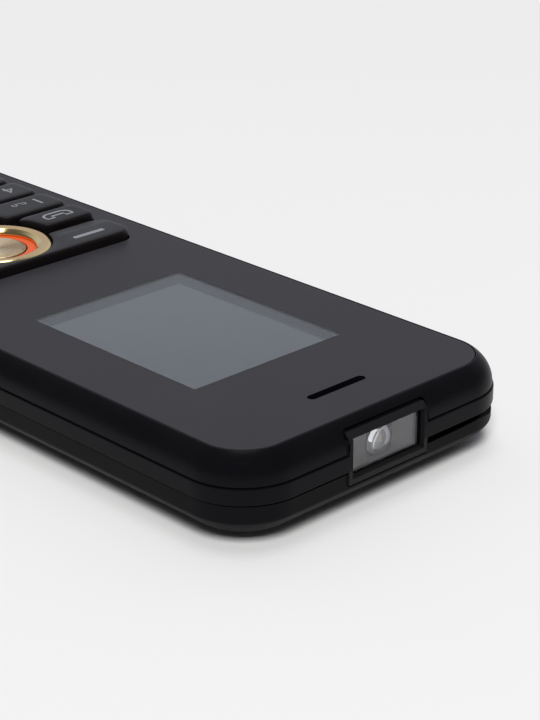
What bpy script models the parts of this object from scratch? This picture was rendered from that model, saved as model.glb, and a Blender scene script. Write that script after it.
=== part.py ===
"""A keypad mobile phone, with each piece of the bar phone as its own closed solid, in metres.

The phone lies on its back. +X is the right side of its front, +Y points to the torch end and
+Z points out of the screen. The origin is under the middle of the back.
"""
import math

import bmesh
import bpy

# Casing
BODY_WIDTH = 0.0540
BODY_LENGTH = 0.1320
BODY_CORNER = 0.0093
BODY_THICKNESS = 0.0132
FRONT_DEPTH = 0.00424
BAND_DEPTH = 0.00244
BAND_PROUD = 0.0002
CASING_WALL = 0.0016
CASING_SPLIT = 0.0003
FIT_GAP = 0.0003
OVERRUN = 0.0020

# Front panel and the rounded edge round it
PANEL_INSET = 0.0028
PANEL_CORNER = 0.0064
PANEL_THICKNESS = 0.0010
PANEL_SEAM = 0.00025
EDGE_HEIGHT = 0.0025
DECK_THICKNESS = 0.0010

# Display; the shares are of the panel's width and length, and the start is from its torch edge
WINDOW_WIDTH_SHARE = 0.5806
WINDOW_LENGTH_SHARE = 0.2737
WINDOW_START_SHARE = 0.1558
SCREEN_WIDTH_SHARE = 0.7025
SCREEN_LENGTH_SHARE = 0.3623
SCREEN_THICKNESS = 0.0012
SCREEN_CORNER = 0.0006
DISPLAY_RIM = 0.0008
DISPLAY_BACK = 0.0015
FLEX_WIDTH = 0.0120
FLEX_THICKNESS = 0.0002
FLEX_RUN = 0.0036

# Earpiece, measured from the panel's torch edge to the middle of the slot
SLOT_LENGTH = 0.01065
SLOT_WIDTH = 0.0014
SLOT_FROM_END = 0.0070
GRILLE_LENGTH = 0.0120
GRILLE_WIDTH = 0.0026
GRILLE_THICKNESS = 0.0006
RECEIVER_LENGTH = 0.0150
RECEIVER_WIDTH = 0.0066
RECEIVER_CORNER = 0.0020

# Keypad; its cut-out starts at a share of the panel's length, and its rows are shares of the cut-out
KEYPAD_START_SHARE = 0.5586
KEYPAD_END_MARGIN = 0.0068
KEYPAD_SIDE_MARGIN = 0.0044
KEYPAD_BORDER = 0.0004
KEY_HEIGHT = 0.00235
KEY_FLOAT = 0.0006
KEY_TRAVEL = 0.0004
KEY_ROUNDING = 0.0005
KEY_CORNER = 0.0013
KEY_GAP = 0.0008
CALL_DEPTH_SHARE = 0.12655
CALL_GAP = 0.0010
SOFT_DEPTH_SHARE = 0.1735
SOFT_GAP = 0.0021
SOFT_CORNER = 0.0026
SOFT_RIDGE_SHARE = 0.647
SOFT_SLOPE = math.radians(9.0)
STEM_LENGTH = 0.0038
STEM_WIDTH = 0.0024
STEM_CLEARANCE = 0.0005
STEM_REACH = 0.0014
SOFT_STEM_SHARE = 0.361
COLUMNS = 3
ROWS = 4

# Navigation key
NAV_BELOW_BAR = 0.0025
NAV_HEIGHT = 0.0016
NAV_ABOVE_PANEL = 0.00115
NAV_GAP = 0.0005
NAV_CORNER_GAP = 0.0010
NAV_LIP = 0.0007
NAV_DISH = 0.0005
ACCENT_INSET = 0.00235
ACCENT_WIDTH = 0.0014
ACCENT_THICKNESS = 0.0003
CENTRE_STEM_RADIUS = 0.0016
CENTRE_RISE = 0.0003
CENTRE_DISH = 0.0003
CUSHION_INSET = 0.0006
CUSHION_WIDTH = 0.0022
CUSHION_THICKNESS = 0.00025
NUB_RADIUS = 0.0007
NUB_INSET = 0.00145
NUB_REACH = 0.0018

# Boards and the layers under the keys
BOARD_THICKNESS = 0.0010
BOARD_END_GAP = 0.0062
MAT_THICKNESS = 0.0003
MAT_POST_RADIUS = 0.0011
MAT_POST_HEIGHT = 0.0006
DOME_SHEET_THICKNESS = 0.0002
DOME_RADIUS_SHARE = 0.2564
DOME_TOP_RADIUS = 0.0008
DOME_HEIGHT = 0.0003
LAYER_CORNER = 0.0015

# Mid frame, torch and battery bay
FLOOR_THICKNESS = 0.0010
TORCH_WIDTH = 0.0148
TORCH_TOP_BELOW_PANEL = 0.00147
TORCH_HEIGHT = 0.00713
TORCH_DEPTH = 0.0062
TORCH_LEAN = 0.0006
TORCH_SIDE = 0.0005
TORCH_HEAD = 0.0006
TORCH_SILL = 0.00105
TORCH_RECESS = 0.0013
TORCH_LENS_THICKNESS = 0.0008
REFLECTOR_DEPTH = 0.0030
REFLECTOR_WALL = 0.0003
LED_RADIUS = 0.0018
LED_BARREL = 0.0010
BATTERY_WIDTH_SHARE = 0.6296
BATTERY_LENGTH_SHARE = 0.4015
BATTERY_THICKNESS = 0.0045
BATTERY_CORNER = 0.0016
BATTERY_FROM_MIDDLE = -0.0020
BAY_WALL = 0.0010

# Rear cover
COVER_WALL = 0.0010
COVER_SIDE = 0.0021
RIDGE_RADIUS = 0.0008
BACK_SLOPE = math.radians(52.0)
PRY_DEPTH = 0.0008
PRY_END_DEPTH = 0.0003
PRY_LENGTH = 0.0135
PRY_REACH = 0.0060
TAB_LENGTH = 0.0060
TAB_THICKNESS = 0.0007
TAB_SPREAD_SHARE = 0.25
TAB_ROOT = 0.0012
SPEAKER_HOLE_RADIUS = 0.0006
SPEAKER_HOLE_PITCH = 0.0024
SPEAKER_HOLES = 5

# Things on the boards
SPEAKER_WIDTH_SHARE = 0.37
SPEAKER_LENGTH = 0.0120
SPEAKER_THICKNESS = 0.0034
SPEAKER_CORNER = 0.0030
SPEAKER_FROM_BAY = 0.0100
MOTOR_RADIUS = 0.0040
MOTOR_THICKNESS = 0.0027
MOTOR_FROM_SIDE = 0.0095
SIM_SIDE_MARGIN = 0.0009
SIM_END_MARGIN = 0.0035
SIM_HEIGHT = 0.0012
SIM_SLOT = 0.0008
SIM_RAIL = 0.0010
SIM_ROOF = 0.0002
CARD_WIDTH = 0.0125
CARD_LENGTH = 0.0140
HOLDER_SPACING = 0.0010
CAN_WIDTH = 0.0240
CAN_LENGTH = 0.0110
CAN_HEIGHT = 0.0016
CAN_CORNER = 0.0008
CAN_FROM_BAY = 0.0078
CONNECTOR_WIDTH = 0.0080
CONNECTOR_LENGTH = 0.0030
CONNECTOR_HEIGHT = 0.0036
USB_WIDTH = 0.0078
USB_HEIGHT = 0.0026
USB_LENGTH = 0.0055
USB_WALL = 0.0004
USB_CORNER = 0.0008
USB_TONGUE_WIDTH = 0.0042
USB_TONGUE = 0.0006
JACK_WIDTH = 0.0062
JACK_HEIGHT = 0.0050
JACK_LENGTH = 0.0120
JACK_BORE = 0.00175
JACK_PLACE_SHARE = 0.25
JACK_END_WALL = 0.0006
SOCKET_SETBACK = 0.0004
PORT_MARGIN = 0.0003
ANTENNA_WIDTH_SHARE = 0.296
ANTENNA_PLACE_SHARE = -0.25
ANTENNA_LENGTH = 0.0080
ANTENNA_HEIGHT = 0.0022
ANTENNA_FROM_END = 0.0100
MIC_RADIUS = 0.0020
MIC_HOLE = 0.0005
MIC_FROM_END = 0.0040
SCREW_FROM_SIDE = 0.0048
SCREW_FROM_END = 0.0160
SCREW_RADIUS = 0.0007
SCREW_HEAD_RADIUS = 0.0015
SCREW_HEAD_HEIGHT = 0.0009
SCREW_SLOT_WIDTH = 0.0004
SCREW_SLOT_DEPTH = 0.0004
SCREW_SHANK = 0.0040
BOSS_RADIUS = 0.0019

# Smoothness
CORNER_STEPS = 6
EDGE_STEPS = 5
ROUND_STEPS = 32
SMALL_STEPS = 12
SMOOTH_ANGLE = math.radians(35.0)

# Widths and lengths worked out from the sizes and shares above
PANEL_WIDTH = BODY_WIDTH - 2 * PANEL_INSET
PANEL_LENGTH = BODY_LENGTH - 2 * PANEL_INSET
WINDOW_WIDTH = PANEL_WIDTH * WINDOW_WIDTH_SHARE
WINDOW_LENGTH = PANEL_LENGTH * WINDOW_LENGTH_SHARE
SCREEN_WIDTH = PANEL_WIDTH * SCREEN_WIDTH_SHARE
SCREEN_LENGTH = PANEL_LENGTH * SCREEN_LENGTH_SHARE
KEYPAD_WIDTH = PANEL_WIDTH - 2 * KEYPAD_SIDE_MARGIN
KEYPAD_LENGTH = PANEL_LENGTH * (1 - KEYPAD_START_SHARE) - KEYPAD_END_MARGIN
SOFT_WIDTH = KEYPAD_WIDTH - 2 * KEYPAD_BORDER
COLUMN_PITCH = (SOFT_WIDTH + KEY_GAP) / COLUMNS
SOFT_DEPTH = KEYPAD_LENGTH * SOFT_DEPTH_SHARE
CALL_DEPTH = KEYPAD_LENGTH * CALL_DEPTH_SHARE
DIGITS_LENGTH = KEYPAD_LENGTH - 2 * KEYPAD_BORDER - SOFT_DEPTH - SOFT_GAP - CALL_DEPTH - CALL_GAP
DIGIT_PITCH = (DIGITS_LENGTH + KEY_GAP) / ROWS
KEY_DEPTH = DIGIT_PITCH - KEY_GAP
DOME_RADIUS = DIGIT_PITCH * DOME_RADIUS_SHARE
NAV_RADIUS = (SOFT_DEPTH + SOFT_GAP + CALL_DEPTH + CALL_GAP) / 2
ACCENT_RADIUS = NAV_RADIUS - ACCENT_INSET
CENTRE_RADIUS = ACCENT_RADIUS - ACCENT_WIDTH - NAV_GAP
BATTERY_WIDTH = BODY_WIDTH * BATTERY_WIDTH_SHARE
BATTERY_LENGTH = BODY_LENGTH * BATTERY_LENGTH_SHARE
SIM_WIDTH = (BATTERY_WIDTH - HOLDER_SPACING) / 2 - SIM_SIDE_MARGIN
SIM_LENGTH = (BATTERY_LENGTH - HOLDER_SPACING) / 2 - SIM_END_MARGIN

# Heights and places worked out from the sizes above
PANEL_TOP = BODY_THICKNESS
PANEL_BASE = PANEL_TOP - PANEL_THICKNESS
DECK_TOP = PANEL_BASE - FIT_GAP
DECK_BASE = DECK_TOP - DECK_THICKNESS
FRONT_SPLIT = PANEL_TOP - FRONT_DEPTH
COVER_SPLIT = FRONT_SPLIT - BAND_DEPTH
MAT_TOP = DECK_BASE - FIT_GAP
MAT_BASE = MAT_TOP - MAT_THICKNESS
DOME_TOP = MAT_BASE - MAT_POST_HEIGHT - FIT_GAP
DOME_SHEET_TOP = DOME_TOP - DOME_HEIGHT
BOARD_TOP = DOME_SHEET_TOP - DOME_SHEET_THICKNESS - FIT_GAP
BOARD_BASE = BOARD_TOP - BOARD_THICKNESS
FLOOR_TOP = BOARD_BASE - FIT_GAP
FLOOR_BASE = FLOOR_TOP - FLOOR_THICKNESS
BATTERY_BASE = COVER_WALL + FIT_GAP
KEY_BASE = DECK_TOP + KEY_FLOAT
KEY_TOP = KEY_BASE + KEY_HEIGHT
PANEL_END = PANEL_LENGTH / 2
KEYPAD_START = PANEL_END - PANEL_LENGTH * KEYPAD_START_SHARE
SOFT_START = KEYPAD_START - KEYPAD_BORDER
CALL_START = SOFT_START - SOFT_DEPTH - SOFT_GAP
DIGIT_START = CALL_START - CALL_DEPTH - CALL_GAP
NAV_Y = SOFT_START - SOFT_DEPTH - NAV_BELOW_BAR
NAV_TOP = PANEL_TOP + NAV_ABOVE_PANEL
NAV_BASE = NAV_TOP - NAV_HEIGHT
WINDOW_Y = PANEL_END - PANEL_LENGTH * WINDOW_START_SHARE - WINDOW_LENGTH / 2
SLOT_Y = PANEL_END - SLOT_FROM_END
TORCH_TOP = PANEL_TOP - TORCH_TOP_BELOW_PANEL
TORCH_BASE = TORCH_TOP - TORCH_HEIGHT
TORCH_FRONT = BODY_LENGTH / 2
TORCH_REAR = TORCH_FRONT - TORCH_DEPTH
BATTERY_TOP = BATTERY_BASE + BATTERY_THICKNESS
BAY_END = BATTERY_FROM_MIDDLE + BATTERY_LENGTH / 2 + FIT_GAP + BAY_WALL
BAY_START = BATTERY_FROM_MIDDLE - BATTERY_LENGTH / 2 - FIT_GAP - BAY_WALL
SOCKET_FACE = -BODY_LENGTH / 2 + SOCKET_SETBACK


def clear_scene():
    """Remove every object that the scene starts with."""
    for item in list(bpy.data.objects):
        bpy.data.objects.remove(item, do_unlink=True)


def material(name, colour, roughness, metallic=0.0, alpha=1.0):
    """A plain surface with the colour, roughness and metallic value of a piece."""
    made = bpy.data.materials.get(name) or bpy.data.materials.new(name)
    made.use_nodes = True
    shader = made.node_tree.nodes["Principled BSDF"]
    shader.inputs["Base Color"].default_value = (*colour, 1.0)
    shader.inputs["Roughness"].default_value = roughness
    shader.inputs["Metallic"].default_value = metallic
    shader.inputs["Alpha"].default_value = alpha
    return made


def black_plastic():
    return material("satin_black", (0.012, 0.012, 0.013), 0.42)


def panel_plastic():
    return material("panel_black", (0.020, 0.020, 0.022), 0.30)


def key_plastic():
    return material("key_black", (0.022, 0.022, 0.024), 0.38)


def clear_plastic():
    return material("clear_plastic", (0.80, 0.82, 0.84), 0.06, 0.0, 0.35)


def gold():
    return material("gold", (0.83, 0.62, 0.30), 0.22, 1.0)


def steel():
    return material("steel", (0.62, 0.62, 0.62), 0.30, 1.0)


def dark_parts():
    return material("dark_parts", (0.03, 0.03, 0.03), 0.50)


def silicone():
    return material("silicone", (0.05, 0.05, 0.055), 0.60)


def rectangle(width, length, corner, x=0.0, y=0.0):
    """Points of a rounded rectangle, anticlockwise from its right side."""
    points = []
    for quarter, (side, end) in enumerate(((1, 1), (-1, 1), (-1, -1), (1, -1))):
        for step in range(CORNER_STEPS + 1):
            angle = math.pi / 2 * (quarter + step / CORNER_STEPS)
            px = x + side * (width / 2 - corner) + corner * math.cos(angle)
            py = y + end * (length / 2 - corner) + corner * math.sin(angle)
            points.append((px, py))
    return points


def circle(radius, x=0.0, y=0.0, steps=ROUND_STEPS):
    turns = [math.tau * step / steps for step in range(steps)]
    return [(x + radius * math.cos(turn), y + radius * math.sin(turn)) for turn in turns]


def at_height(points, z):
    return [(x, y, z) for x, y in points]


def across(points, y):
    """Turn an outline in X and Z into a ring that faces along Y."""
    return [(x, y, z) for x, z in points]


def slab(points, low, high):
    return [at_height(points, low), at_height(points, high)]


def box(x_low, x_high, y_low, y_high, z_low, z_high):
    corners = [(x_low, y_low), (x_high, y_low), (x_high, y_high), (x_low, y_high)]
    return slab(corners, z_low, z_high)


def box_at(x, y, width, length, z_low, z_high):
    return box(x - width / 2, x + width / 2, y - length / 2, y + length / 2, z_low, z_high)


def solid(name, bodies, surface=None, hoop=False):
    """Make an object from bodies, each a list of rings that are joined into one closed skin.

    The first and last ring are capped, unless the skin is a hoop whose last ring meets its first.
    """
    shape = bmesh.new()
    for rings in bodies:
        loops = [[shape.verts.new(point) for point in ring] for ring in rings]
        following = loops[1:] + loops[:1] if hoop else loops[1:]
        for lower, upper in zip(loops, following):
            for index in range(len(lower)):
                after = (index + 1) % len(lower)
                shape.faces.new((lower[index], lower[after], upper[after], upper[index]))
        if not hoop:
            shape.faces.new(loops[0][::-1])
            shape.faces.new(loops[-1])
    bmesh.ops.recalc_face_normals(shape, faces=shape.faces)
    mesh = bpy.data.meshes.new(name)
    shape.to_mesh(mesh)
    shape.free()
    made = bpy.data.objects.new(name, mesh)
    bpy.context.scene.collection.objects.link(made)
    if surface:
        mesh.materials.append(surface)
        mesh.shade_smooth()
        mesh.set_sharp_from_angle(angle=SMOOTH_ANGLE)
    return made


def helper(name, bodies, hoop=False):
    """Make a solid that only shapes others."""
    made = solid(name, bodies, hoop=hoop)
    made.hide_render = True
    made.display_type = "WIRE"
    return made


def shape_with(target, tool, operation):
    change = target.modifiers.new(f"{operation.lower()}_{tool.name}", "BOOLEAN")
    change.object = tool
    change.operation = operation
    change.solver = "EXACT"


def cut(target, tool):
    shape_with(target, tool, "DIFFERENCE")


def add(target, tool):
    shape_with(target, tool, "UNION")


def set_origin(piece, x, y, z):
    """Move a piece's origin to a point on its joint's axis and leave its shape in place."""
    for vertex in piece.data.vertices:
        vertex.co.x -= x
        vertex.co.y -= y
        vertex.co.z -= z
    piece.location = (x, y, z)


def casing_outline(inset, corner=BODY_CORNER):
    return rectangle(BODY_WIDTH - 2 * inset, BODY_LENGTH - 2 * inset, corner - inset)


def screw_places():
    spread = BODY_LENGTH / 2 - SCREW_FROM_END
    across_body = BODY_WIDTH / 2 - SCREW_FROM_SIDE
    return [(side * across_body, end * spread) for end in (1, -1) for side in (-1, 1)]


def edge_ring(turn):
    """A ring of the rounded edge, from the upright wall at turn 0 to the panel at turn 1."""
    angle = turn * math.pi / 2
    inward = 1 - math.cos(angle)
    outer = (BODY_WIDTH - 2 * BAND_PROUD, BODY_LENGTH - 2 * BAND_PROUD, BODY_CORNER - BAND_PROUD)
    inner = (PANEL_WIDTH + 2 * PANEL_SEAM, PANEL_LENGTH + 2 * PANEL_SEAM, PANEL_CORNER + PANEL_SEAM)
    sizes = [wide + (narrow - wide) * inward for wide, narrow in zip(outer, inner)]
    height = PANEL_TOP - EDGE_HEIGHT * (1 - math.sin(angle))
    return at_height(rectangle(*sizes), height)


def front_housing():
    """The upper shell: wall, rounded edge, recess for the panel and the deck under it."""
    recess = rectangle(PANEL_WIDTH + 2 * PANEL_SEAM, PANEL_LENGTH + 2 * PANEL_SEAM,
                       PANEL_CORNER + PANEL_SEAM)
    low = FRONT_SPLIT + CASING_SPLIT / 2
    inner = casing_outline(BAND_PROUD + CASING_WALL)
    outer = casing_outline(BAND_PROUD)
    rings = [at_height(inner, DECK_BASE), at_height(inner, low), at_height(outer, low)]
    rings += [edge_ring(step / EDGE_STEPS) for step in range(EDGE_STEPS + 1)]
    rings.append(at_height(recess, DECK_TOP))
    housing = solid("front_housing", [rings], black_plastic())
    bosses = [slab(circle(BOSS_RADIUS, x, y, SMALL_STEPS), BOARD_TOP + FIT_GAP, DECK_TOP - FIT_GAP)
              for x, y in screw_places()]
    pilots = [slab(circle(SCREW_RADIUS + FIT_GAP, x, y, SMALL_STEPS), BOARD_TOP, DECK_TOP - 2 * FIT_GAP)
              for x, y in screw_places()]
    add(housing, helper("boss_shape", bosses))
    cut(housing, helper("pilot_shape", pilots))
    cut(housing, helper("deck_holes", deck_openings()))
    cut(housing, helper("nav_holes", nav_openings()))
    cut(housing, helper("torch_notch", [torch_clearance()]))
    return housing


def deck_openings():
    """The deck's openings for the display, the earpiece, the microphone and the keys' stems."""
    low = DECK_BASE - OVERRUN / 4
    high = DECK_TOP + OVERRUN / 4
    width = SCREEN_WIDTH + 2 * FIT_GAP
    length = SCREEN_LENGTH + 2 * FIT_GAP
    openings = [slab(rectangle(width, length, SCREEN_CORNER + FIT_GAP, 0.0, WINDOW_Y), low, high)]
    width = GRILLE_LENGTH + 2 * FIT_GAP
    length = GRILLE_WIDTH + 2 * FIT_GAP
    openings.append(box_at(0.0, SLOT_Y, width, length, low, high))
    openings.append(slab(circle(MIC_HOLE, 0.0, mic_y(), SMALL_STEPS), low, high))
    for x, y in stem_places():
        width = STEM_LENGTH + 2 * STEM_CLEARANCE
        length = STEM_WIDTH + 2 * STEM_CLEARANCE
        openings.append(box_at(x, y, width, length, low, high))
    return openings


def nav_openings():
    """The deck's round holes for the centre key's stem and the navigation ring's nubs."""
    places = [(CENTRE_STEM_RADIUS, 0.0, NAV_Y)]
    places += [(NUB_RADIUS, x, y) for x, y in nub_places()]
    low = DECK_BASE - OVERRUN / 4
    high = DECK_TOP + OVERRUN / 4
    return [slab(circle(radius + STEM_CLEARANCE, x, y, SMALL_STEPS), low, high) for radius, x, y in places]


def mic_y():
    return -PANEL_END + MIC_FROM_END


def torch_clearance():
    """The space that the mid frame's torch box needs in the two shells."""
    gap = CASING_SPLIT
    return box(-TORCH_WIDTH / 2 - gap, TORCH_WIDTH / 2 + gap, TORCH_REAR - gap,
               TORCH_FRONT + OVERRUN, TORCH_BASE - gap, TORCH_TOP + gap)


def front_panel():
    """The flat plate that carries the window, the earpiece slot and the keypad cut-out."""
    outline = rectangle(PANEL_WIDTH, PANEL_LENGTH, PANEL_CORNER)
    panel = solid("front_panel", [slab(outline, PANEL_BASE, PANEL_TOP)], panel_plastic())
    low = PANEL_BASE - OVERRUN
    high = PANEL_TOP + OVERRUN
    keypad_y = KEYPAD_START - KEYPAD_LENGTH / 2
    keypad = rectangle(KEYPAD_WIDTH, KEYPAD_LENGTH, KEY_CORNER + KEYPAD_BORDER, 0.0, keypad_y)
    window = box_at(0.0, WINDOW_Y, WINDOW_WIDTH, WINDOW_LENGTH, low, high)
    slot = slab(rectangle(SLOT_LENGTH, SLOT_WIDTH, SLOT_WIDTH / 2, 0.0, SLOT_Y), low, high)
    hole = slab(circle(MIC_HOLE, 0.0, mic_y(), SMALL_STEPS), low, high)
    cut(panel, helper("panel_openings", [slab(keypad, low, high), window, slot, hole]))
    return panel


def window_lens():
    """The clear plate that fills the window."""
    width = WINDOW_WIDTH - 2 * FIT_GAP
    length = WINDOW_LENGTH - 2 * FIT_GAP
    solid("window_lens", [box_at(0.0, WINDOW_Y, width, length, PANEL_BASE, PANEL_TOP)], clear_plastic())


def display():
    """The glass, which stands in the deck's opening, and the frame with its backlight under it."""
    glass_base = DECK_TOP - SCREEN_THICKNESS
    outline = rectangle(SCREEN_WIDTH, SCREEN_LENGTH, SCREEN_CORNER, 0.0, WINDOW_Y)
    solid("display_glass", [slab(outline, glass_base, DECK_TOP)],
          material("display_glass", (0.10, 0.11, 0.13), 0.08))
    frame_top = glass_base - FIT_GAP
    frame_width = SCREEN_WIDTH + 2 * DISPLAY_RIM
    frame_length = SCREEN_LENGTH + 2 * DISPLAY_RIM
    outline = rectangle(frame_width, frame_length, SCREEN_CORNER, 0.0, WINDOW_Y)
    solid("display_frame", [slab(outline, frame_top - DISPLAY_BACK, frame_top)],
          material("display_frame", (0.75, 0.75, 0.73), 0.45))
    flex_end = WINDOW_Y - frame_length / 2 - FIT_GAP
    high = frame_top - DISPLAY_BACK / 2
    low = BOARD_TOP + FIT_GAP
    profile = flex_profile(flex_end, high, low)
    rings = [[(side * FLEX_WIDTH / 2, y, z) for y, z in profile] for side in (-1, 1)]
    solid("display_flex", [rings], material("flex", (0.65, 0.32, 0.05), 0.45))


def flex_profile(end, high, low):
    """The side view of the flex: out of the frame, down, and along the board."""
    bend = end - FLEX_RUN / 2
    thick = FLEX_THICKNESS
    return [(end, high), (bend, high), (bend, low + thick), (end - FLEX_RUN, low + thick),
            (end - FLEX_RUN, low), (bend + thick, low), (bend + thick, high - thick), (end, high - thick)]


def earpiece():
    """The grille in the deck and the receiver under it."""
    sheet = box_at(0.0, SLOT_Y, GRILLE_LENGTH, GRILLE_WIDTH, DECK_BASE, DECK_BASE + GRILLE_THICKNESS)
    grille = solid("earpiece_grille", [sheet], steel())
    holes = []
    count = round(GRILLE_LENGTH / GRILLE_WIDTH) + 2
    for index in range(count):
        x = (index - (count - 1) / 2) * GRILLE_LENGTH / count
        holes.append(slab(circle(GRILLE_THICKNESS, x, SLOT_Y, SMALL_STEPS),
                          DECK_BASE - OVERRUN, DECK_TOP + OVERRUN))
    cut(grille, helper("grille_holes", holes))
    outline = rectangle(RECEIVER_LENGTH, RECEIVER_WIDTH, RECEIVER_CORNER, 0.0, SLOT_Y)
    solid("earpiece_receiver", [slab(outline, BOARD_TOP + FIT_GAP, DECK_BASE - FIT_GAP)], dark_parts())


def microphone():
    outline = circle(MIC_RADIUS, 0.0, mic_y(), SMALL_STEPS)
    solid("microphone", [slab(outline, BOARD_TOP + FIT_GAP, DECK_BASE - FIT_GAP)], steel())


def key_rings(outline_at, base, top, rounding):
    """Rings of a key cap: an upright wall, then a rounded upper edge."""
    rings = [at_height(outline_at(0.0), base)]
    for step in range(EDGE_STEPS - 1):
        angle = math.pi / 2 * step / (EDGE_STEPS - 2)
        inset = rounding * (1 - math.cos(angle))
        rings.append(at_height(outline_at(inset), top - rounding * (1 - math.sin(angle))))
    return rings


def key_cap(name, x, y, width, depth, corner, top, stems):
    """A key: a rounded cap with its stems, and its origin in the middle of its base."""
    def outline_at(inset):
        return rectangle(width - 2 * inset, depth - 2 * inset, corner - inset, x, y)
    cap = solid(name, [key_rings(outline_at, KEY_BASE, top, KEY_ROUNDING)], key_plastic())
    feet = [box_at(sx, sy, STEM_LENGTH, STEM_WIDTH, KEY_BASE - STEM_REACH, KEY_BASE + KEY_ROUNDING)
            for sx, sy in stems]
    add(cap, helper(f"{name}_stems", feet))
    return cap


def column_x(column):
    return (column - (COLUMNS - 1) / 2) * COLUMN_PITCH


def digit_row_y(row):
    return DIGIT_START - KEY_DEPTH / 2 - row * DIGIT_PITCH


def digit_stem(column, row):
    """A digit key's stem; the ones beside the navigation key move down to clear it."""
    lowered = KEY_DEPTH / 4 if row == 0 else 0.0
    return (column_x(column), digit_row_y(row) - lowered)


def call_stem(side):
    return (side * (SOFT_WIDTH / 2 - STEM_LENGTH), CALL_START - CALL_DEPTH / 2)


def soft_stem(side):
    return (side * SOFT_WIDTH * SOFT_STEM_SHARE, SOFT_START - SOFT_DEPTH / 2)


def stem_places():
    places = [digit_stem(column, row) for row in range(ROWS) for column in range(COLUMNS)]
    places += [call_stem(side) for side in (-1, 1)]
    places += [soft_stem(side) for side in (-1, 1)]
    return places


def nub_places():
    """The four nubs of the navigation ring, one in each direction that it rocks."""
    reach = NAV_RADIUS - NUB_INSET
    return [(reach * dx, NAV_Y + reach * dy) for dx, dy in ((1, 0), (0, 1), (-1, 0), (0, -1))]


def nav_well(radius, name):
    """A round cutter about the navigation key."""
    return helper(name, [slab(circle(radius, 0.0, NAV_Y, 2 * ROUND_STEPS), DECK_BASE, KEY_TOP + OVERRUN)])


def number_keys():
    """Twelve keys in four rows; the first row bends round the navigation key."""
    names = ("1", "2", "3", "4", "5", "6", "7", "8", "9", "star", "0", "hash")
    well = nav_well(NAV_RADIUS + NAV_CORNER_GAP, "digit_well")
    for index, name in enumerate(names):
        row, column = divmod(index, COLUMNS)
        x = column_x(column)
        y = digit_row_y(row)
        key = key_cap(f"key_{name}", x, y, COLUMN_PITCH - KEY_GAP, KEY_DEPTH, KEY_CORNER, KEY_TOP,
                      [digit_stem(column, row)])
        if row == 0:
            cut(key, well)
        set_origin(key, x, y, KEY_BASE)


def call_keys():
    """The call and end keys, whose inner ends follow the navigation key."""
    well = nav_well(NAV_RADIUS + NAV_CORNER_GAP, "call_well")
    width = SOFT_WIDTH / 2 - NAV_RADIUS / 2
    for name, side in (("call_key", -1), ("end_key", 1)):
        x = side * (SOFT_WIDTH / 2 - width / 2)
        y = CALL_START - CALL_DEPTH / 2
        key = key_cap(name, x, y, width, CALL_DEPTH, KEY_CORNER, KEY_TOP, [call_stem(side)])
        cut(key, well)
        set_origin(key, x, y, KEY_BASE)


def soft_key_bar():
    """One plate under both soft keys; its back slopes down from a ridge."""
    y = SOFT_START - SOFT_DEPTH / 2
    bar = key_cap("soft_key_bar", 0.0, y, SOFT_WIDTH, SOFT_DEPTH, SOFT_CORNER, KEY_TOP,
                  [soft_stem(side) for side in (-1, 1)])
    cut(bar, nav_well(NAV_RADIUS + NAV_GAP, "soft_well"))
    ridge = SOFT_START - SOFT_DEPTH * SOFT_RIDGE_SHARE
    drop = math.tan(SOFT_SLOPE) * SOFT_DEPTH
    profile = [(ridge, KEY_TOP), (ridge, KEY_TOP + OVERRUN), (ridge - SOFT_DEPTH, KEY_TOP + OVERRUN),
               (ridge - SOFT_DEPTH, KEY_TOP - drop)]
    rings = [[(side * SOFT_WIDTH, py, pz) for py, pz in profile] for side in (-1, 1)]
    cut(bar, helper("soft_slope", [rings]))
    set_origin(bar, 0.0, y, KEY_BASE)


def turned(name, profile, surface, hoop, steps=ROUND_STEPS):
    """A body turned about the navigation key's axis from (radius, height) points."""
    rings = [at_height(circle(radius, 0.0, NAV_Y, steps), z) for radius, z in profile]
    return solid(name, [rings], surface, hoop)


def navigation_key():
    """The rocking ring, its accent ring, the pad that it rocks on and the centre key."""
    accent_top = NAV_TOP - NAV_DISH
    accent_base = accent_top - ACCENT_THICKNESS
    inner = ACCENT_RADIUS - ACCENT_WIDTH
    rim = NAV_RADIUS - NAV_LIP
    shelf = ACCENT_RADIUS + FIT_GAP
    profile = [(inner, NAV_BASE), (NAV_RADIUS, NAV_BASE), (NAV_RADIUS, NAV_TOP - NAV_LIP / 2),
               (NAV_RADIUS - NAV_LIP / 4, NAV_TOP), (rim, NAV_TOP), (shelf, accent_top),
               (shelf, accent_base - FIT_GAP), (inner, accent_base - FIT_GAP)]
    ring = turned("nav_ring", profile, gold(), True, 2 * ROUND_STEPS)
    nubs = [slab(circle(NUB_RADIUS, x, y, SMALL_STEPS), NAV_BASE - NUB_REACH, NAV_BASE + FIT_GAP)
            for x, y in nub_places()]
    add(ring, helper("nub_shape", nubs))
    set_origin(ring, 0.0, NAV_Y, NAV_BASE)
    outer = ACCENT_RADIUS
    profile = [(inner, accent_base), (outer, accent_base), (outer, accent_top), (inner, accent_top)]
    accent = turned("accent_ring", profile, material("accent_orange", (0.85, 0.22, 0.05), 0.30), True)
    set_origin(accent, 0.0, NAV_Y, NAV_BASE)
    top = NAV_BASE - FIT_GAP
    base = top - CUSHION_THICKNESS
    outer = ACCENT_RADIUS - CUSHION_INSET
    bore = outer - CUSHION_WIDTH
    profile = [(bore, base), (outer, base), (outer, top), (bore, top)]
    cushion = turned("nav_cushion", profile, silicone(), True)
    set_origin(cushion, 0.0, NAV_Y, base)
    centre_key()


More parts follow.
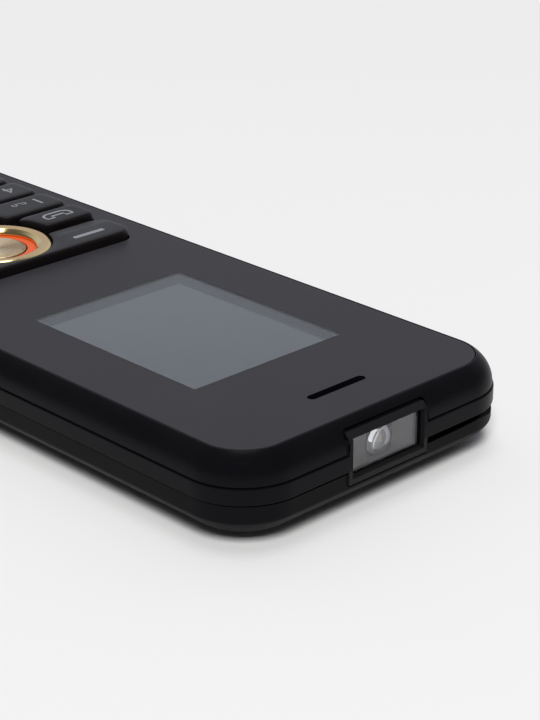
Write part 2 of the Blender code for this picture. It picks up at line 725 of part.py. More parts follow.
def centre_key():
    """The domed and dished centre key with its stem."""
    radius = CENTRE_RADIUS
    rise = NAV_TOP - NAV_DISH + CENTRE_RISE
    base = NAV_BASE + KEY_TRAVEL
    stem = CENTRE_STEM_RADIUS
    profile = [(stem, KEY_BASE - STEM_REACH), (stem, base), (radius, base), (radius, rise - CENTRE_RISE),
               (radius - CENTRE_RISE, rise), (radius / 2, rise - CENTRE_DISH / 2),
               (radius / 4, rise - CENTRE_DISH)]
    champagne = material("champagne", (0.80, 0.66, 0.45), 0.25, 1.0)
    key = turned("centre_key", profile, champagne, False)
    set_origin(key, 0.0, NAV_Y, base)


def layers_under_keys():
    """The silicone mat with its posts, and the sheet of snap domes that they press."""
    length = KEYPAD_LENGTH
    y = KEYPAD_START - length / 2
    outline = rectangle(KEYPAD_WIDTH, length, LAYER_CORNER, 0.0, y)
    mat = solid("key_mat", [slab(outline, MAT_BASE, MAT_TOP)], silicone())
    spots = stem_places() + nub_places() + [(0.0, NAV_Y)]
    low = MAT_BASE - MAT_POST_HEIGHT
    high = MAT_TOP - FIT_GAP / 2
    posts = [slab(circle(MAT_POST_RADIUS, px, py, SMALL_STEPS), low, high) for px, py in spots]
    add(mat, helper("mat_posts", posts))
    sheet_base = DOME_SHEET_TOP - DOME_SHEET_THICKNESS
    sheet = solid("dome_sheet", [slab(outline, sheet_base, DOME_SHEET_TOP)], steel())
    root = DOME_SHEET_TOP - DOME_SHEET_THICKNESS / 2
    domes = []
    for px, py in spots:
        foot = circle(DOME_RADIUS, px, py, SMALL_STEPS)
        crown = circle(DOME_TOP_RADIUS, px, py, SMALL_STEPS)
        domes.append([at_height(foot, root), at_height(foot, DOME_SHEET_TOP), at_height(crown, DOME_TOP)])
    add(sheet, helper("dome_shapes", domes))


def main_board():
    """The circuit board, with holes for the screws and room for the torch and the jack."""
    inset = CASING_WALL + FIT_GAP
    high_end = TORCH_REAR - FIT_GAP
    low_end = -BODY_LENGTH / 2 + BOARD_END_GAP
    width = BODY_WIDTH - 2 * (BAND_PROUD + inset)
    outline = rectangle(width, high_end - low_end, BODY_CORNER - inset, 0.0, (high_end + low_end) / 2)
    green = material("board_green", (0.02, 0.12, 0.05), 0.40)
    board = solid("main_board", [slab(outline, BOARD_BASE, BOARD_TOP)], green)
    low = BOARD_BASE - OVERRUN
    high = BOARD_TOP + OVERRUN
    radius = SCREW_RADIUS + FIT_GAP
    holes = [slab(circle(radius, x, y, SMALL_STEPS), low, high) for x, y in screw_places()]
    holes.append(jack_clearance(low, high))
    cut(board, helper("board_holes", holes))


def jack_x():
    return BODY_WIDTH * JACK_PLACE_SHARE


def jack_clearance(low, high):
    inner = SOCKET_FACE + JACK_LENGTH + FIT_GAP
    half = JACK_WIDTH / 2 + FIT_GAP
    return box(jack_x() - half, jack_x() + half, SOCKET_FACE - OVERRUN, inner, low, high)


def usb_clearance(low, high):
    inner = SOCKET_FACE + USB_LENGTH + FIT_GAP
    half = USB_WIDTH / 2 + PORT_MARGIN
    return box(-half, half, SOCKET_FACE - OVERRUN, inner, low, high)


def mid_frame():
    """The band between the shells, its floor, the battery bay and the torch's box."""
    low = COVER_SPLIT + CASING_SPLIT / 2
    high = FRONT_SPLIT - CASING_SPLIT / 2
    wall = casing_outline(CASING_WALL)
    under = casing_outline(BAND_PROUD + COVER_WALL + TAB_THICKNESS + 2 * FIT_GAP)
    outer = casing_outline(0.0)
    rings = [at_height(under, FLOOR_BASE), at_height(under, low), at_height(outer, low),
             at_height(outer, high), at_height(wall, high), at_height(wall, FLOOR_TOP)]
    frame = solid("mid_frame", [rings], black_plastic())
    add(frame, helper("bay_shape", [bay_rings()], hoop=True))
    add(frame, helper("torch_box", [torch_box_rings()]))
    cut(frame, helper("torch_hole", [torch_opening(TORCH_REAR - OVERRUN, TORCH_FRONT + OVERRUN, 0.0)]))
    cut(frame, helper("floor_holes", floor_openings()))
    return frame


def bay_rings():
    """The four walls round the battery, as one hoop."""
    width = BATTERY_WIDTH + 2 * FIT_GAP
    length = BATTERY_LENGTH + 2 * FIT_GAP
    y = BATTERY_FROM_MIDDLE
    inner = rectangle(width, length, BATTERY_CORNER, 0.0, y)
    outer = rectangle(width + 2 * BAY_WALL, length + 2 * BAY_WALL, BATTERY_CORNER + BAY_WALL, 0.0, y)
    low = BATTERY_BASE + BAY_WALL
    high = FLOOR_BASE + FLOOR_THICKNESS / 2
    return [at_height(inner, low), at_height(outer, low), at_height(outer, high), at_height(inner, high)]


def torch_outline(inset_side, inset_top, inset_base):
    half = TORCH_WIDTH / 2 - inset_side
    low = TORCH_BASE + inset_base
    high = TORCH_TOP - inset_top
    return [(-half, low), (half, low), (half, high), (-half, high)]


def torch_box_rings():
    """The torch's box frame, whose front leans back towards its top."""
    rear = across(torch_outline(0.0, 0.0, 0.0), TORCH_REAR)
    front = [(x, TORCH_FRONT - (TORCH_LEAN if z > FRONT_SPLIT else 0.0), z)
             for x, _, z in rear]
    return [rear, front]


def torch_opening(y_low, y_high, shrink):
    outline = torch_outline(TORCH_SIDE + shrink, TORCH_HEAD + shrink, TORCH_SILL + shrink)
    return [across(outline, y_low), across(outline, y_high)]


def floor_openings():
    """Openings in the floor for what hangs under the board, and for the screws and sockets."""
    low = FLOOR_BASE - FIT_GAP
    high = FLOOR_TOP + FIT_GAP
    openings = [slab(circle(SCREW_RADIUS + FIT_GAP, x, y, SMALL_STEPS), low, high) for x, y in screw_places()]
    for x, y, width, length in holder_places():
        openings.append(box_at(x, y, width + 2 * FIT_GAP, length + 2 * FIT_GAP, low, high))
    openings.append(box_at(0.0, can_y(), CAN_WIDTH + 2 * FIT_GAP, CAN_LENGTH + 2 * FIT_GAP, low, high))
    width = CONNECTOR_WIDTH + 2 * FIT_GAP
    length = CONNECTOR_LENGTH + 2 * FIT_GAP
    openings.append(box_at(0.0, connector_y(), width, length, BATTERY_BASE, high))
    openings.append(jack_clearance(COVER_WALL, FRONT_SPLIT + OVERRUN))
    openings.append(usb_clearance(COVER_WALL, high))
    return openings


def holder_places():
    """Centre, width and length of the three SIM holders and the memory card holder."""
    side = (SIM_WIDTH + HOLDER_SPACING) / 2
    back = BATTERY_FROM_MIDDLE + (SIM_LENGTH + HOLDER_SPACING) / 2
    front = BATTERY_FROM_MIDDLE - (SIM_LENGTH + HOLDER_SPACING) / 2
    card = BATTERY_FROM_MIDDLE - (CARD_LENGTH + HOLDER_SPACING) / 2
    return [(-side, back, SIM_WIDTH, SIM_LENGTH), (side, back, SIM_WIDTH, SIM_LENGTH),
            (-side, front, SIM_WIDTH, SIM_LENGTH), (side, card, CARD_WIDTH, CARD_LENGTH)]


def card_holders():
    """Sheet metal holders, each open at one end for its card."""
    names = ("sim_holder_1", "sim_holder_2", "sim_holder_3", "memory_card_holder")
    for name, (x, y, width, length) in zip(names, holder_places()):
        body = box_at(x, y, width, length, FLOOR_TOP - SIM_HEIGHT, FLOOR_TOP)
        holder = solid(name, [body], steel())
        low = FLOOR_TOP - SIM_HEIGHT + SIM_ROOF
        half = width / 2 - SIM_RAIL
        inner = y - length / 2 + SIM_RAIL
        slot = box(x - half, x + half, inner, y + length / 2 + OVERRUN, low, low + SIM_SLOT)
        cut(holder, helper(f"{name}_slot", [slot]))


def torch():
    """The clear lens, the reflector tray behind it and the domed lamp in the tray."""
    lens_front = TORCH_FRONT - TORCH_LEAN - TORCH_RECESS
    lens_rear = lens_front - TORCH_LENS_THICKNESS
    solid("torch_lens", [torch_opening(lens_rear, lens_front, FIT_GAP)], clear_plastic())
    tray_front = lens_rear - FIT_GAP
    tray_rear = tray_front - REFLECTOR_DEPTH
    tray = solid("torch_reflector", [torch_opening(tray_rear, tray_front, FIT_GAP)],
                 material("reflector", (0.70, 0.71, 0.72), 0.30, 0.6))
    inner = torch_opening(tray_rear + REFLECTOR_WALL, tray_front + OVERRUN, FIT_GAP + REFLECTOR_WALL)
    cut(tray, helper("tray_shape", [inner]))
    middle = (TORCH_TOP - TORCH_HEAD + TORCH_BASE + TORCH_SILL) / 2
    foot = tray_rear + REFLECTOR_WALL + FIT_GAP
    places = [(LED_RADIUS, foot), (LED_RADIUS, foot + LED_BARREL / 2)]
    dome = tray_front - foot - FIT_GAP - LED_BARREL / 2
    for step in range(1, EDGE_STEPS):
        angle = math.pi / 2 * step / EDGE_STEPS
        places.append((LED_RADIUS * math.cos(angle), foot + LED_BARREL / 2 + dome * math.sin(angle)))
    rings = [across(circle(radius, 0.0, middle, SMALL_STEPS + SMALL_STEPS // 2), y) for radius, y in places]
    solid("torch_led", [rings], material("led_clear", (0.85, 0.87, 0.88), 0.05, 0.0, 0.6))


def back_outline(inset):
    """An outline of the back, whose corner shrinks with the inset but keeps a least radius."""
    corner = max(BODY_CORNER - inset, BATTERY_CORNER)
    return rectangle(BODY_WIDTH - 2 * inset, BODY_LENGTH - 2 * inset, corner)


def cover_section(thickness):
    """Inset and height of the curved back, from its flat middle out to the ridge."""
    side_foot = COVER_SPLIT - CASING_SPLIT / 2 - COVER_SIDE
    turn = math.pi / 2 - BACK_SLOPE
    ridge_low = side_foot - RIDGE_RADIUS * math.sin(turn)
    curve = ridge_low / (1 - math.cos(BACK_SLOPE))
    flat_inset = BAND_PROUD + RIDGE_RADIUS * (1 - math.cos(turn)) + curve * math.sin(BACK_SLOPE)
    radius = curve - thickness
    angles = [BACK_SLOPE * step / EDGE_STEPS for step in range(EDGE_STEPS + 1)]
    return [(flat_inset - radius * math.sin(angle), curve - radius * math.cos(angle)) for angle in angles]


def rear_cover():
    """The lift-off back: curved under, with a ridge, an upright side and snap tabs inside."""
    rim = COVER_SPLIT - CASING_SPLIT / 2
    side_foot = rim - COVER_SIDE
    outer = cover_section(0.0)
    steps = EDGE_STEPS - 1
    for step in range(steps - 1, -1, -1):
        angle = (math.pi / 2 - BACK_SLOPE) * step / steps
        inset = BAND_PROUD + RIDGE_RADIUS * (1 - math.cos(angle))
        outer.append((inset, side_foot - RIDGE_RADIUS * math.sin(angle)))
    inner_side = BAND_PROUD + COVER_WALL
    inner = [(max(place, inner_side), z) for place, z in cover_section(COVER_WALL)]
    profile = outer + [(BAND_PROUD, rim), (inner_side, rim)] + inner[::-1]
    rings = [at_height(back_outline(place), z) for place, z in profile]
    cover = solid("rear_cover", [rings], black_plastic())
    add(cover, helper("snap_tabs", tab_boxes()))
    port_low = FLOOR_TOP - USB_HEIGHT - PORT_MARGIN
    jack_low = BOARD_TOP - JACK_HEIGHT - PORT_MARGIN
    high = rim + OVERRUN
    cut(cover, helper("cover_notch", [torch_clearance()]))
    cut(cover, helper("pry_slot", [pry_slot()]))
    cut(cover, helper("port_notches", [usb_clearance(port_low, high), jack_clearance(jack_low, high)]))
    cut(cover, helper("speaker_grille", speaker_holes()))
    return cover


def tab_boxes():
    """Four snap tabs, rooted in the inside of the cover's long sides."""
    rim = COVER_SPLIT - CASING_SPLIT / 2
    width = TAB_THICKNESS + FIT_GAP
    x = BODY_WIDTH / 2 - BAND_PROUD - COVER_WALL - TAB_THICKNESS + width / 2
    y = BODY_LENGTH * TAB_SPREAD_SHARE
    return [box_at(side * x, end * y, width, TAB_LENGTH, rim - TAB_ROOT, rim - FIT_GAP)
            for end in (-1, 1) for side in (-1, 1)]


def pry_slot():
    """The fingernail slot beside the torch, deepest at the torch and shallow at the corner."""
    rim = COVER_SPLIT - CASING_SPLIT / 2
    near = -TORCH_WIDTH / 2
    far = near - PRY_LENGTH
    back = BODY_LENGTH / 2 - PRY_REACH
    front = BODY_LENGTH / 2 + OVERRUN
    high = rim + OVERRUN
    rings = []
    for x, low in ((near, rim - PRY_DEPTH), (far, rim - PRY_END_DEPTH)):
        rings.append([(x, back, low), (x, front, low), (x, front, high), (x, back, high)])
    return rings


def speaker_y():
    return BAY_END + SPEAKER_FROM_BAY


def speaker_holes():
    """The row of holes in the back under the loudspeaker."""
    middle = (SPEAKER_HOLES - 1) / 2
    holes = []
    for index in range(SPEAKER_HOLES):
        outline = circle(SPEAKER_HOLE_RADIUS, (index - middle) * SPEAKER_HOLE_PITCH, speaker_y(), SMALL_STEPS)
        holes.append(slab(outline, -OVERRUN, COVER_WALL + OVERRUN / 4))
    return holes


def battery():
    outline = rectangle(BATTERY_WIDTH, BATTERY_LENGTH, BATTERY_CORNER, 0.0, BATTERY_FROM_MIDDLE)
    grey = material("battery", (0.22, 0.23, 0.25), 0.45)
    pack = solid("battery", [slab(outline, BATTERY_BASE, BATTERY_TOP)], grey)
    set_origin(pack, 0.0, BATTERY_FROM_MIDDLE, BATTERY_BASE)


def can_y():
    return BAY_START - CAN_FROM_BAY


def connector_y():
    return BAY_END - BAY_WALL + CONNECTOR_LENGTH / 2


def hardware():
    """Speaker, motor, shield can, battery connector, sockets and antenna."""
    high = FLOOR_BASE - FIT_GAP
    width = BODY_WIDTH * SPEAKER_WIDTH_SHARE
    outline = rectangle(width, SPEAKER_LENGTH, SPEAKER_CORNER, 0.0, speaker_y())
    solid("loudspeaker", [slab(outline, high - SPEAKER_THICKNESS, high)], dark_parts())
    motor = circle(MOTOR_RADIUS, BODY_WIDTH / 2 - MOTOR_FROM_SIDE, speaker_y(), SMALL_STEPS * 2)
    solid("vibration_motor", [slab(motor, high - MOTOR_THICKNESS, high)], steel())
    outline = rectangle(CAN_WIDTH, CAN_LENGTH, CAN_CORNER, 0.0, can_y())
    under = BOARD_BASE - FIT_GAP
    solid("shield_can", [slab(outline, under - CAN_HEIGHT, under)], steel())
    body = box_at(0.0, connector_y(), CONNECTOR_WIDTH, CONNECTOR_LENGTH, under - CONNECTOR_HEIGHT, under)
    solid("battery_connector", [body], gold())
    x = BODY_WIDTH * ANTENNA_PLACE_SHARE
    y = -BODY_LENGTH / 2 + ANTENNA_FROM_END
    width = BODY_WIDTH * ANTENNA_WIDTH_SHARE
    body = box_at(x, y, width, ANTENNA_LENGTH, high - ANTENNA_HEIGHT, high)
    solid("antenna", [body], material("antenna", (0.70, 0.55, 0.20), 0.40))
    usb_socket()
    headphone_socket()


def usb_socket():
    """The charging socket: a metal shell with a tongue inside."""
    high = FLOOR_TOP
    middle = high - USB_HEIGHT / 2
    outline = rectangle(USB_WIDTH, USB_HEIGHT, USB_CORNER, 0.0, middle)
    width = USB_WIDTH - 2 * USB_WALL
    height = USB_HEIGHT - 2 * USB_WALL
    inner = rectangle(width, height, USB_CORNER - USB_WALL, 0.0, middle)
    shell = [across(outline, SOCKET_FACE), across(outline, SOCKET_FACE + USB_LENGTH)]
    socket = solid("usb_socket", [shell], steel())
    hollow = [across(inner, SOCKET_FACE - OVERRUN), across(inner, SOCKET_FACE + USB_LENGTH - USB_WALL)]
    cut(socket, helper("usb_hollow", [hollow]))
    tongue = box(-USB_TONGUE_WIDTH / 2, USB_TONGUE_WIDTH / 2, SOCKET_FACE + USB_WALL,
                 SOCKET_FACE + USB_LENGTH - USB_WALL / 2, middle - USB_TONGUE / 2, middle + USB_TONGUE / 2)
    add(socket, helper("usb_tongue", [tongue]))


def headphone_socket():
    """The headphone socket: a block with a round bore."""
    high = BOARD_TOP
    y = SOCKET_FACE + JACK_LENGTH / 2
    body = box_at(jack_x(), y, JACK_WIDTH, JACK_LENGTH, high - JACK_HEIGHT, high)
    socket = solid("headphone_socket", [body], dark_parts())
    bore = circle(JACK_BORE, jack_x(), high - JACK_HEIGHT / 2, ROUND_STEPS // 2)
    rings = [across(bore, SOCKET_FACE - OVERRUN), across(bore, SOCKET_FACE + JACK_LENGTH - JACK_END_WALL)]
    cut(socket, helper("jack_bore", [rings]))


def case_screws():
    """Four slotted screws from the back through floor and board into the bosses."""
    head_high = FLOOR_BASE - FIT_GAP
    head_low = head_high - SCREW_HEAD_HEIGHT
    for index, (x, y) in enumerate(screw_places(), 1):
        head = circle(SCREW_HEAD_RADIUS, x, y, SMALL_STEPS)
        shank = circle(SCREW_RADIUS, x, y, SMALL_STEPS)
        rings = [at_height(head, head_low), at_height(head, head_high), at_height(shank, head_high),
                 at_height(shank, head_high + SCREW_SHANK)]
        screw = solid(f"case_screw_{index}", [rings], steel())
        high = head_low + SCREW_SLOT_DEPTH
        slot = box_at(x, y, SCREW_HEAD_RADIUS, SCREW_SLOT_WIDTH, head_low - OVERRUN, high)
        cut(screw, helper(f"screw_slot_{index}", [slot]))


def build_phone():
    clear_scene()
    front_housing()
    front_panel()
    window_lens()
    display()
    earpiece()
    microphone()
    number_keys()
    call_keys()
    soft_key_bar()
    navigation_key()
    layers_under_keys()
    main_board()
    mid_frame()
    card_holders()
    torch()
    rear_cover()
    battery()
    hardware()
    case_screws()


build_phone()
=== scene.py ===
"""Looks of the keypad mobile phone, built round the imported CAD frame. Lengths in this file are millimetres."""
import math

import bmesh
import bpy
from mathutils import Matrix, Vector

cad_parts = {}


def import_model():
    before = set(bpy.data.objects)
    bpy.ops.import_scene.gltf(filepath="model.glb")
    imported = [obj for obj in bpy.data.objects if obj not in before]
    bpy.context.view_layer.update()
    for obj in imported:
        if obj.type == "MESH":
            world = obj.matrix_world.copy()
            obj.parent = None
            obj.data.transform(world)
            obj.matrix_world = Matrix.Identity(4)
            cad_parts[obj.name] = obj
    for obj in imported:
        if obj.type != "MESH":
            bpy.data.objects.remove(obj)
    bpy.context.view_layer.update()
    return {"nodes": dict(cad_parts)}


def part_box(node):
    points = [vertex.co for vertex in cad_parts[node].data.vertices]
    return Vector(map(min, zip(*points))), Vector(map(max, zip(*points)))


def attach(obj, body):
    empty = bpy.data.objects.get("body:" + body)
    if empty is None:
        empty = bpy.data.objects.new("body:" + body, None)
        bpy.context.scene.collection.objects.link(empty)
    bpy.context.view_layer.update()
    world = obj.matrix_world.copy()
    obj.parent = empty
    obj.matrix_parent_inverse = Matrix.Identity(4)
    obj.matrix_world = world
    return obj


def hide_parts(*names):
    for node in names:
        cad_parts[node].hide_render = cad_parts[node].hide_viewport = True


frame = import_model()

MM = 0.001
NODES = frame["nodes"]

BODY = (54.0, 132.0, 9.3)  # width, length and corner radius
END = BODY[1] / 2
PANEL = (48.4, 126.4, 6.4)
PANEL_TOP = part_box("front_panel")[1].z / MM
PANEL_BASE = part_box("front_panel")[0].z / MM
DECK_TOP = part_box("display_glass")[1].z / MM
KEY_BASE = 12.5
KEY_TOP = 14.82
PRINT = (KEY_TOP + 0.002, KEY_TOP + 0.014)  # foot and top of the printed marks
KEY_END = 20.2  # outer ends of the side keys
SIDE_KEY_START = 7.0
CALL_KEY_START = 4.475
KEY_GAP = 0.25
KEY_POINTS = 72
KEY_DEPTH = 7.0
KEY_CORNER = 1.5
MIDDLE_KEY_WIDTH = 12.4
CALL_KEY_DEPTH = 6.2
COLUMN_STEP = 13.2
FIRST_ROW = -29.107
ROW_STEP = 7.798
CALL_Y = -21.507
NAV_Y = -18.807
NAV_RADIUS = 8.9
NAV_WELL = NAV_RADIUS + 1.0  # the circle that the keys round it keep clear
WELL_BLEND = 1.8  # rounding where a key's outline meets the navigation key's well
SLOT_Y = PANEL[1] / 2 - 7.0  # the earpiece's slot
SEAM = 0.11  # gap round the panel
LIP = 0.15
EDGE_REACH = math.radians(56.0)
SPLIT = 0.12  # width of a parting line
FRONT_SPLIT = 8.96
COVER_SPLIT = 6.52
CASING_WALL = 1.8
COVER_WALL = 1.2
COVER_RIDGE = COVER_SPLIT - 2.25
BACK_INSET = 0.2
BACK_SLOPE = math.radians(52.0)
RIDGE_TURN = math.radians(38.0)
RIDGE_ROUND = 0.8
TORCH_HALF = 7.55
TORCH_LOW = 4.6
TORCH_HIGH = 11.9
TORCH_MIDDLE = (TORCH_HIGH - 0.95 + TORCH_LOW + 1.05) / 2
TORCH_LEAN = 0.95
TORCH_BEND = 10.95  # the height at which the torch's frame starts to lean back
TORCH_CORNER = 0.35
TORCH_INNER = 66.35  # what the torch's inner parts are measured from
CORNER_STEPS = 20
SMOOTH_ANGLE = math.radians(32.0)
FINISH_ANGLE = math.radians(40.0)
SOFTEN_ANGLE = math.radians(50.0)


# Mesh helpers

def rectangle(width, length, corner, x=0.0, y=0.0, steps=CORNER_STEPS):
    points = []
    for quarter, (side, end) in enumerate(((1, 1), (-1, 1), (-1, -1), (1, -1))):
        for step in range(steps + 1):
            angle = math.pi / 2 * (quarter + step / steps)
            points.append((x + side * (width / 2 - corner) + corner * math.cos(angle),
                           y + end * (length / 2 - corner) + corner * math.sin(angle)))
    return points


def circle(radius, x=0.0, y=0.0, steps=64):
    return [(x + radius * math.cos(math.tau * k / steps), y + radius * math.sin(math.tau * k / steps))
            for k in range(steps)]


def flat(points, z):
    return [(x, y, z) for x, y in points]


def upright(points, y):
    return [(x, y, z) for x, z in points]


def prism(points, low, high):
    """A body with an outline seen from above, from one height to another."""
    return [flat(points, low), flat(points, high)]


def beam(points, back, front):
    """A body with an outline seen from the phone's end, from one y to another."""
    return [upright(points, back), upright(points, front)]


def build(name, bodies, surface=None, hoop=False, smooth=True):
    """A mesh object from bodies, each a list of rings of equal counts that are joined in turn."""
    shape = bmesh.new()
    for rings in bodies:
        loops = [[shape.verts.new([c * MM for c in point]) for point in ring] for ring in rings]
        following = loops[1:] + loops[:1] if hoop else loops[1:]
        for lower, upper in zip(loops, following):
            for k in range(len(lower)):
                after = (k + 1) % len(lower)
                shape.faces.new((lower[k], lower[after], upper[after], upper[k]))
        if not hoop:
            shape.faces.new(loops[0][::-1])
            shape.faces.new(loops[-1])
    bmesh.ops.recalc_face_normals(shape, faces=shape.faces)
    mesh = bpy.data.meshes.new(name)
    shape.to_mesh(mesh)
    shape.free()
    piece = bpy.data.objects.new(name, mesh)
    bpy.context.scene.collection.objects.link(piece)
    if surface:
        mesh.materials.append(surface)
    if smooth:
        shade(piece)
    return piece


def shade(piece, angle=SMOOTH_ANGLE):
    piece.data.shade_smooth()
    piece.data.set_sharp_from_angle(angle=angle)


def bake(piece):
    """Apply the piece's modifiers to its mesh."""
    graph = bpy.context.evaluated_depsgraph_get()
    mesh = bpy.data.meshes.new_from_object(piece.evaluated_get(graph))
    old = piece.data
    piece.modifiers.clear()
    piece.data = mesh
    mesh.name = old.name
    bpy.data.meshes.remove(old)


def carve(piece, bodies, operation="DIFFERENCE", hoop=False):
    """Cut closed bodies out of the piece, or join them to it."""
    for rings in bodies:
        tool = build("tool", [rings], hoop=hoop, smooth=False)
        change = piece.modifiers.new("carve", "BOOLEAN")
        change.object = tool
        change.operation = operation
        change.solver = "EXACT"
        bake(piece)
        mesh = tool.data
        bpy.data.objects.remove(tool)
        bpy.data.meshes.remove(mesh)


def soften(piece, width):
    """Round the piece's sharp edges, then shade it with its large faces kept flat."""
    bevel = piece.modifiers.new("soften", "BEVEL")
    bevel.width = width * MM
    bevel.segments = 2
    bevel.limit_method = "ANGLE"
    bevel.angle_limit = SOFTEN_ANGLE
    bevel.use_clamp_overlap = True
    bake(piece)
    finish_shading(piece)


def finish_shading(piece):
    shade(piece, FINISH_ANGLE)
    weight = piece.modifiers.new("weighted", "WEIGHTED_NORMAL")
    weight.keep_sharp = True
    bake(piece)


def dress(piece, body, slot, *nodes):
    """Let a piece move with its body and hide the CAD nodes that it stands for. The slot, a finish's name, is not
    used.
    """
    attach(piece, body)
    if nodes:
        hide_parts(*nodes)


# Materials

def shader_of(name, colour, roughness, metallic=0.0, level=0.5, **sockets):
    made = bpy.data.materials.new(name)
    made.use_nodes = True
    shader = made.node_tree.nodes["Principled BSDF"]
    shader.inputs["Base Color"].default_value = (*colour, 1.0)
    shader.inputs["Roughness"].default_value = roughness
    shader.inputs["Metallic"].default_value = metallic
    shader.inputs["Specular IOR Level"].default_value = level
    for socket, value in sockets.items():
        shader.inputs[socket.replace("_", " ")].default_value = value
    return made, shader


def noise_of(made, scale, detail=2.0, stretch=(1.0, 1.0, 1.0)):
    """A noise texture in the object's own metres."""
    tree = made.node_tree
    place = tree.nodes.new("ShaderNodeTexCoord")
    turn = tree.nodes.new("ShaderNodeMapping")
    turn.inputs["Scale"].default_value = stretch
    noise = tree.nodes.new("ShaderNodeTexNoise")
    noise.inputs["Scale"].default_value = scale
    noise.inputs["Detail"].default_value = detail
    tree.links.new(place.outputs["Object"], turn.inputs["Vector"])
    tree.links.new(turn.outputs["Vector"], noise.inputs["Vector"])
    return noise.outputs["Fac"]


def ranged(made, value, low, high, from_low=0.3, from_high=0.7):
    node = made.node_tree.nodes.new("ShaderNodeMapRange")
    node.inputs["From Min"].default_value = from_low
    node.inputs["From Max"].default_value = from_high
    node.inputs["To Min"].default_value = low
    node.inputs["To Max"].default_value = high
    made.node_tree.links.new(value, node.inputs["Value"])
    return node.outputs["Result"]


def mixed(made, factor, first, second):
    node = made.node_tree.nodes.new("ShaderNodeMix")
    node.data_type = "RGBA"
    node.inputs["A"].default_value = (*first, 1.0)
    node.inputs["B"].default_value = (*second, 1.0)
    made.node_tree.links.new(factor, node.inputs["Factor"])
    return node.outputs["Result"]


def bump(made, shader, height, distance):
    node = made.node_tree.nodes.new("ShaderNodeBump")
    node.inputs["Strength"].default_value = 1.0
    node.inputs["Distance"].default_value = distance * MM
    made.node_tree.links.new(height, node.inputs["Height"])
    made.node_tree.links.new(node.outputs["Normal"], shader.inputs["Normal"])


def grained(name, colour, roughness, level, grain, depth, spread=0.05, **sockets):
    """Moulded plastic: fine grain in the bump, and slow changes of roughness and colour."""
    made, shader = shader_of(name, colour, roughness, level=level, **sockets)
    links = made.node_tree.links
    slow = noise_of(made, 90.0, 3.0)
    links.new(ranged(made, slow, roughness - spread, roughness + spread), shader.inputs["Roughness"])
    lighter = [c * 1.25 for c in colour]
    darker = [c * 0.8 for c in colour]
    links.new(mixed(made, slow, darker, lighter), shader.inputs["Base Color"])
    bump(made, shader, noise_of(made, 1.0 / (grain * MM), 2.0), depth)
    return made


def metal(name, colour, roughness, stretch=(1.0, 1.0, 1.0), grain=0.25, depth=0.004):
    """Sheet or plated metal with fine streaks."""
    made, shader = shader_of(name, colour, roughness, metallic=1.0)
    streaks = noise_of(made, 1.0 / (grain * MM), 3.0, stretch)
    uneven = ranged(made, streaks, roughness * 0.75, roughness * 1.3)
    made.node_tree.links.new(uneven, shader.inputs["Roughness"])
    bump(made, shader, streaks, depth)
    return made


def operating(made, kind, operation):
    node = made.node_tree.nodes.new(kind)
    node.operation = operation
    return node


def spun(name, colour, painted_shade_colour, roughness, anisotropic):
    """Turned metal: fine grooves about the object's own upright axis, with wedges of light and shade painted into
    its colour as the sheen that turns with the light.
    """
    made, shader = shader_of(name, colour, roughness, metallic=1.0, Anisotropic=anisotropic)
    tree = made.node_tree
    place = tree.nodes.new("ShaderNodeTexCoord")
    flatten = operating(made, "ShaderNodeVectorMath", "MULTIPLY")
    flatten.inputs[1].default_value = (1.0, 1.0, 0.0)
    length = operating(made, "ShaderNodeVectorMath", "LENGTH")
    noise = tree.nodes.new("ShaderNodeTexNoise")
    noise.noise_dimensions = "1D"
    noise.inputs["Scale"].default_value = 9000.0
    noise.inputs["Detail"].default_value = 3.0
    around = tree.nodes.new("ShaderNodeTangent")
    around.direction_type = "RADIAL"
    around.axis = "Z"
    tree.links.new(place.outputs["Object"], flatten.inputs[0])
    tree.links.new(flatten.outputs["Vector"], length.inputs[0])
    tree.links.new(length.outputs["Value"], noise.inputs["W"])
    tree.links.new(around.outputs["Tangent"], shader.inputs["Tangent"])
    grooves = noise.outputs["Fac"]
    bump(made, shader, grooves, 0.0005)
    tree.links.new(ranged(made, grooves, roughness * 0.8, roughness * 1.25), shader.inputs["Roughness"])
    # The base colour carries painted wedges of light and shade about the axis.
    painted_wedges = painted_sheen_wedges(made, flatten.outputs["Vector"])
    tree.links.new(mixed(made, painted_wedges, painted_shade_colour, colour), shader.inputs["Base Color"])
    return made


def painted_sheen_wedges(made, flattened):
    """Painted light and shade that turns about the upright axis: lighter along the x = y diagonal, on which the
    camera looks, darker across it, with noise streaks.
    """
    tree = made.node_tree
    unit = operating(made, "ShaderNodeVectorMath", "NORMALIZE")
    parts = tree.nodes.new("ShaderNodeSeparateXYZ")
    across = operating(made, "ShaderNodeMath", "MULTIPLY")
    rays = tree.nodes.new("ShaderNodeTexNoise")
    rays.inputs["Scale"].default_value = 4.0
    rays.inputs["Detail"].default_value = 1.5
    total = operating(made, "ShaderNodeMath", "MULTIPLY_ADD")
    total.inputs[1].default_value = 1.3
    tree.links.new(flattened, unit.inputs[0])
    tree.links.new(unit.outputs["Vector"], parts.inputs["Vector"])
    tree.links.new(unit.outputs["Vector"], rays.inputs["Vector"])
    tree.links.new(parts.outputs["X"], across.inputs[0])
    tree.links.new(parts.outputs["Y"], across.inputs[1])
    tree.links.new(rays.outputs["Fac"], total.inputs[0])
    tree.links.new(across.outputs["Value"], total.inputs[2])
    return ranged(made, total.outputs["Value"], 0.0, 1.0, 0.1, 1.1)


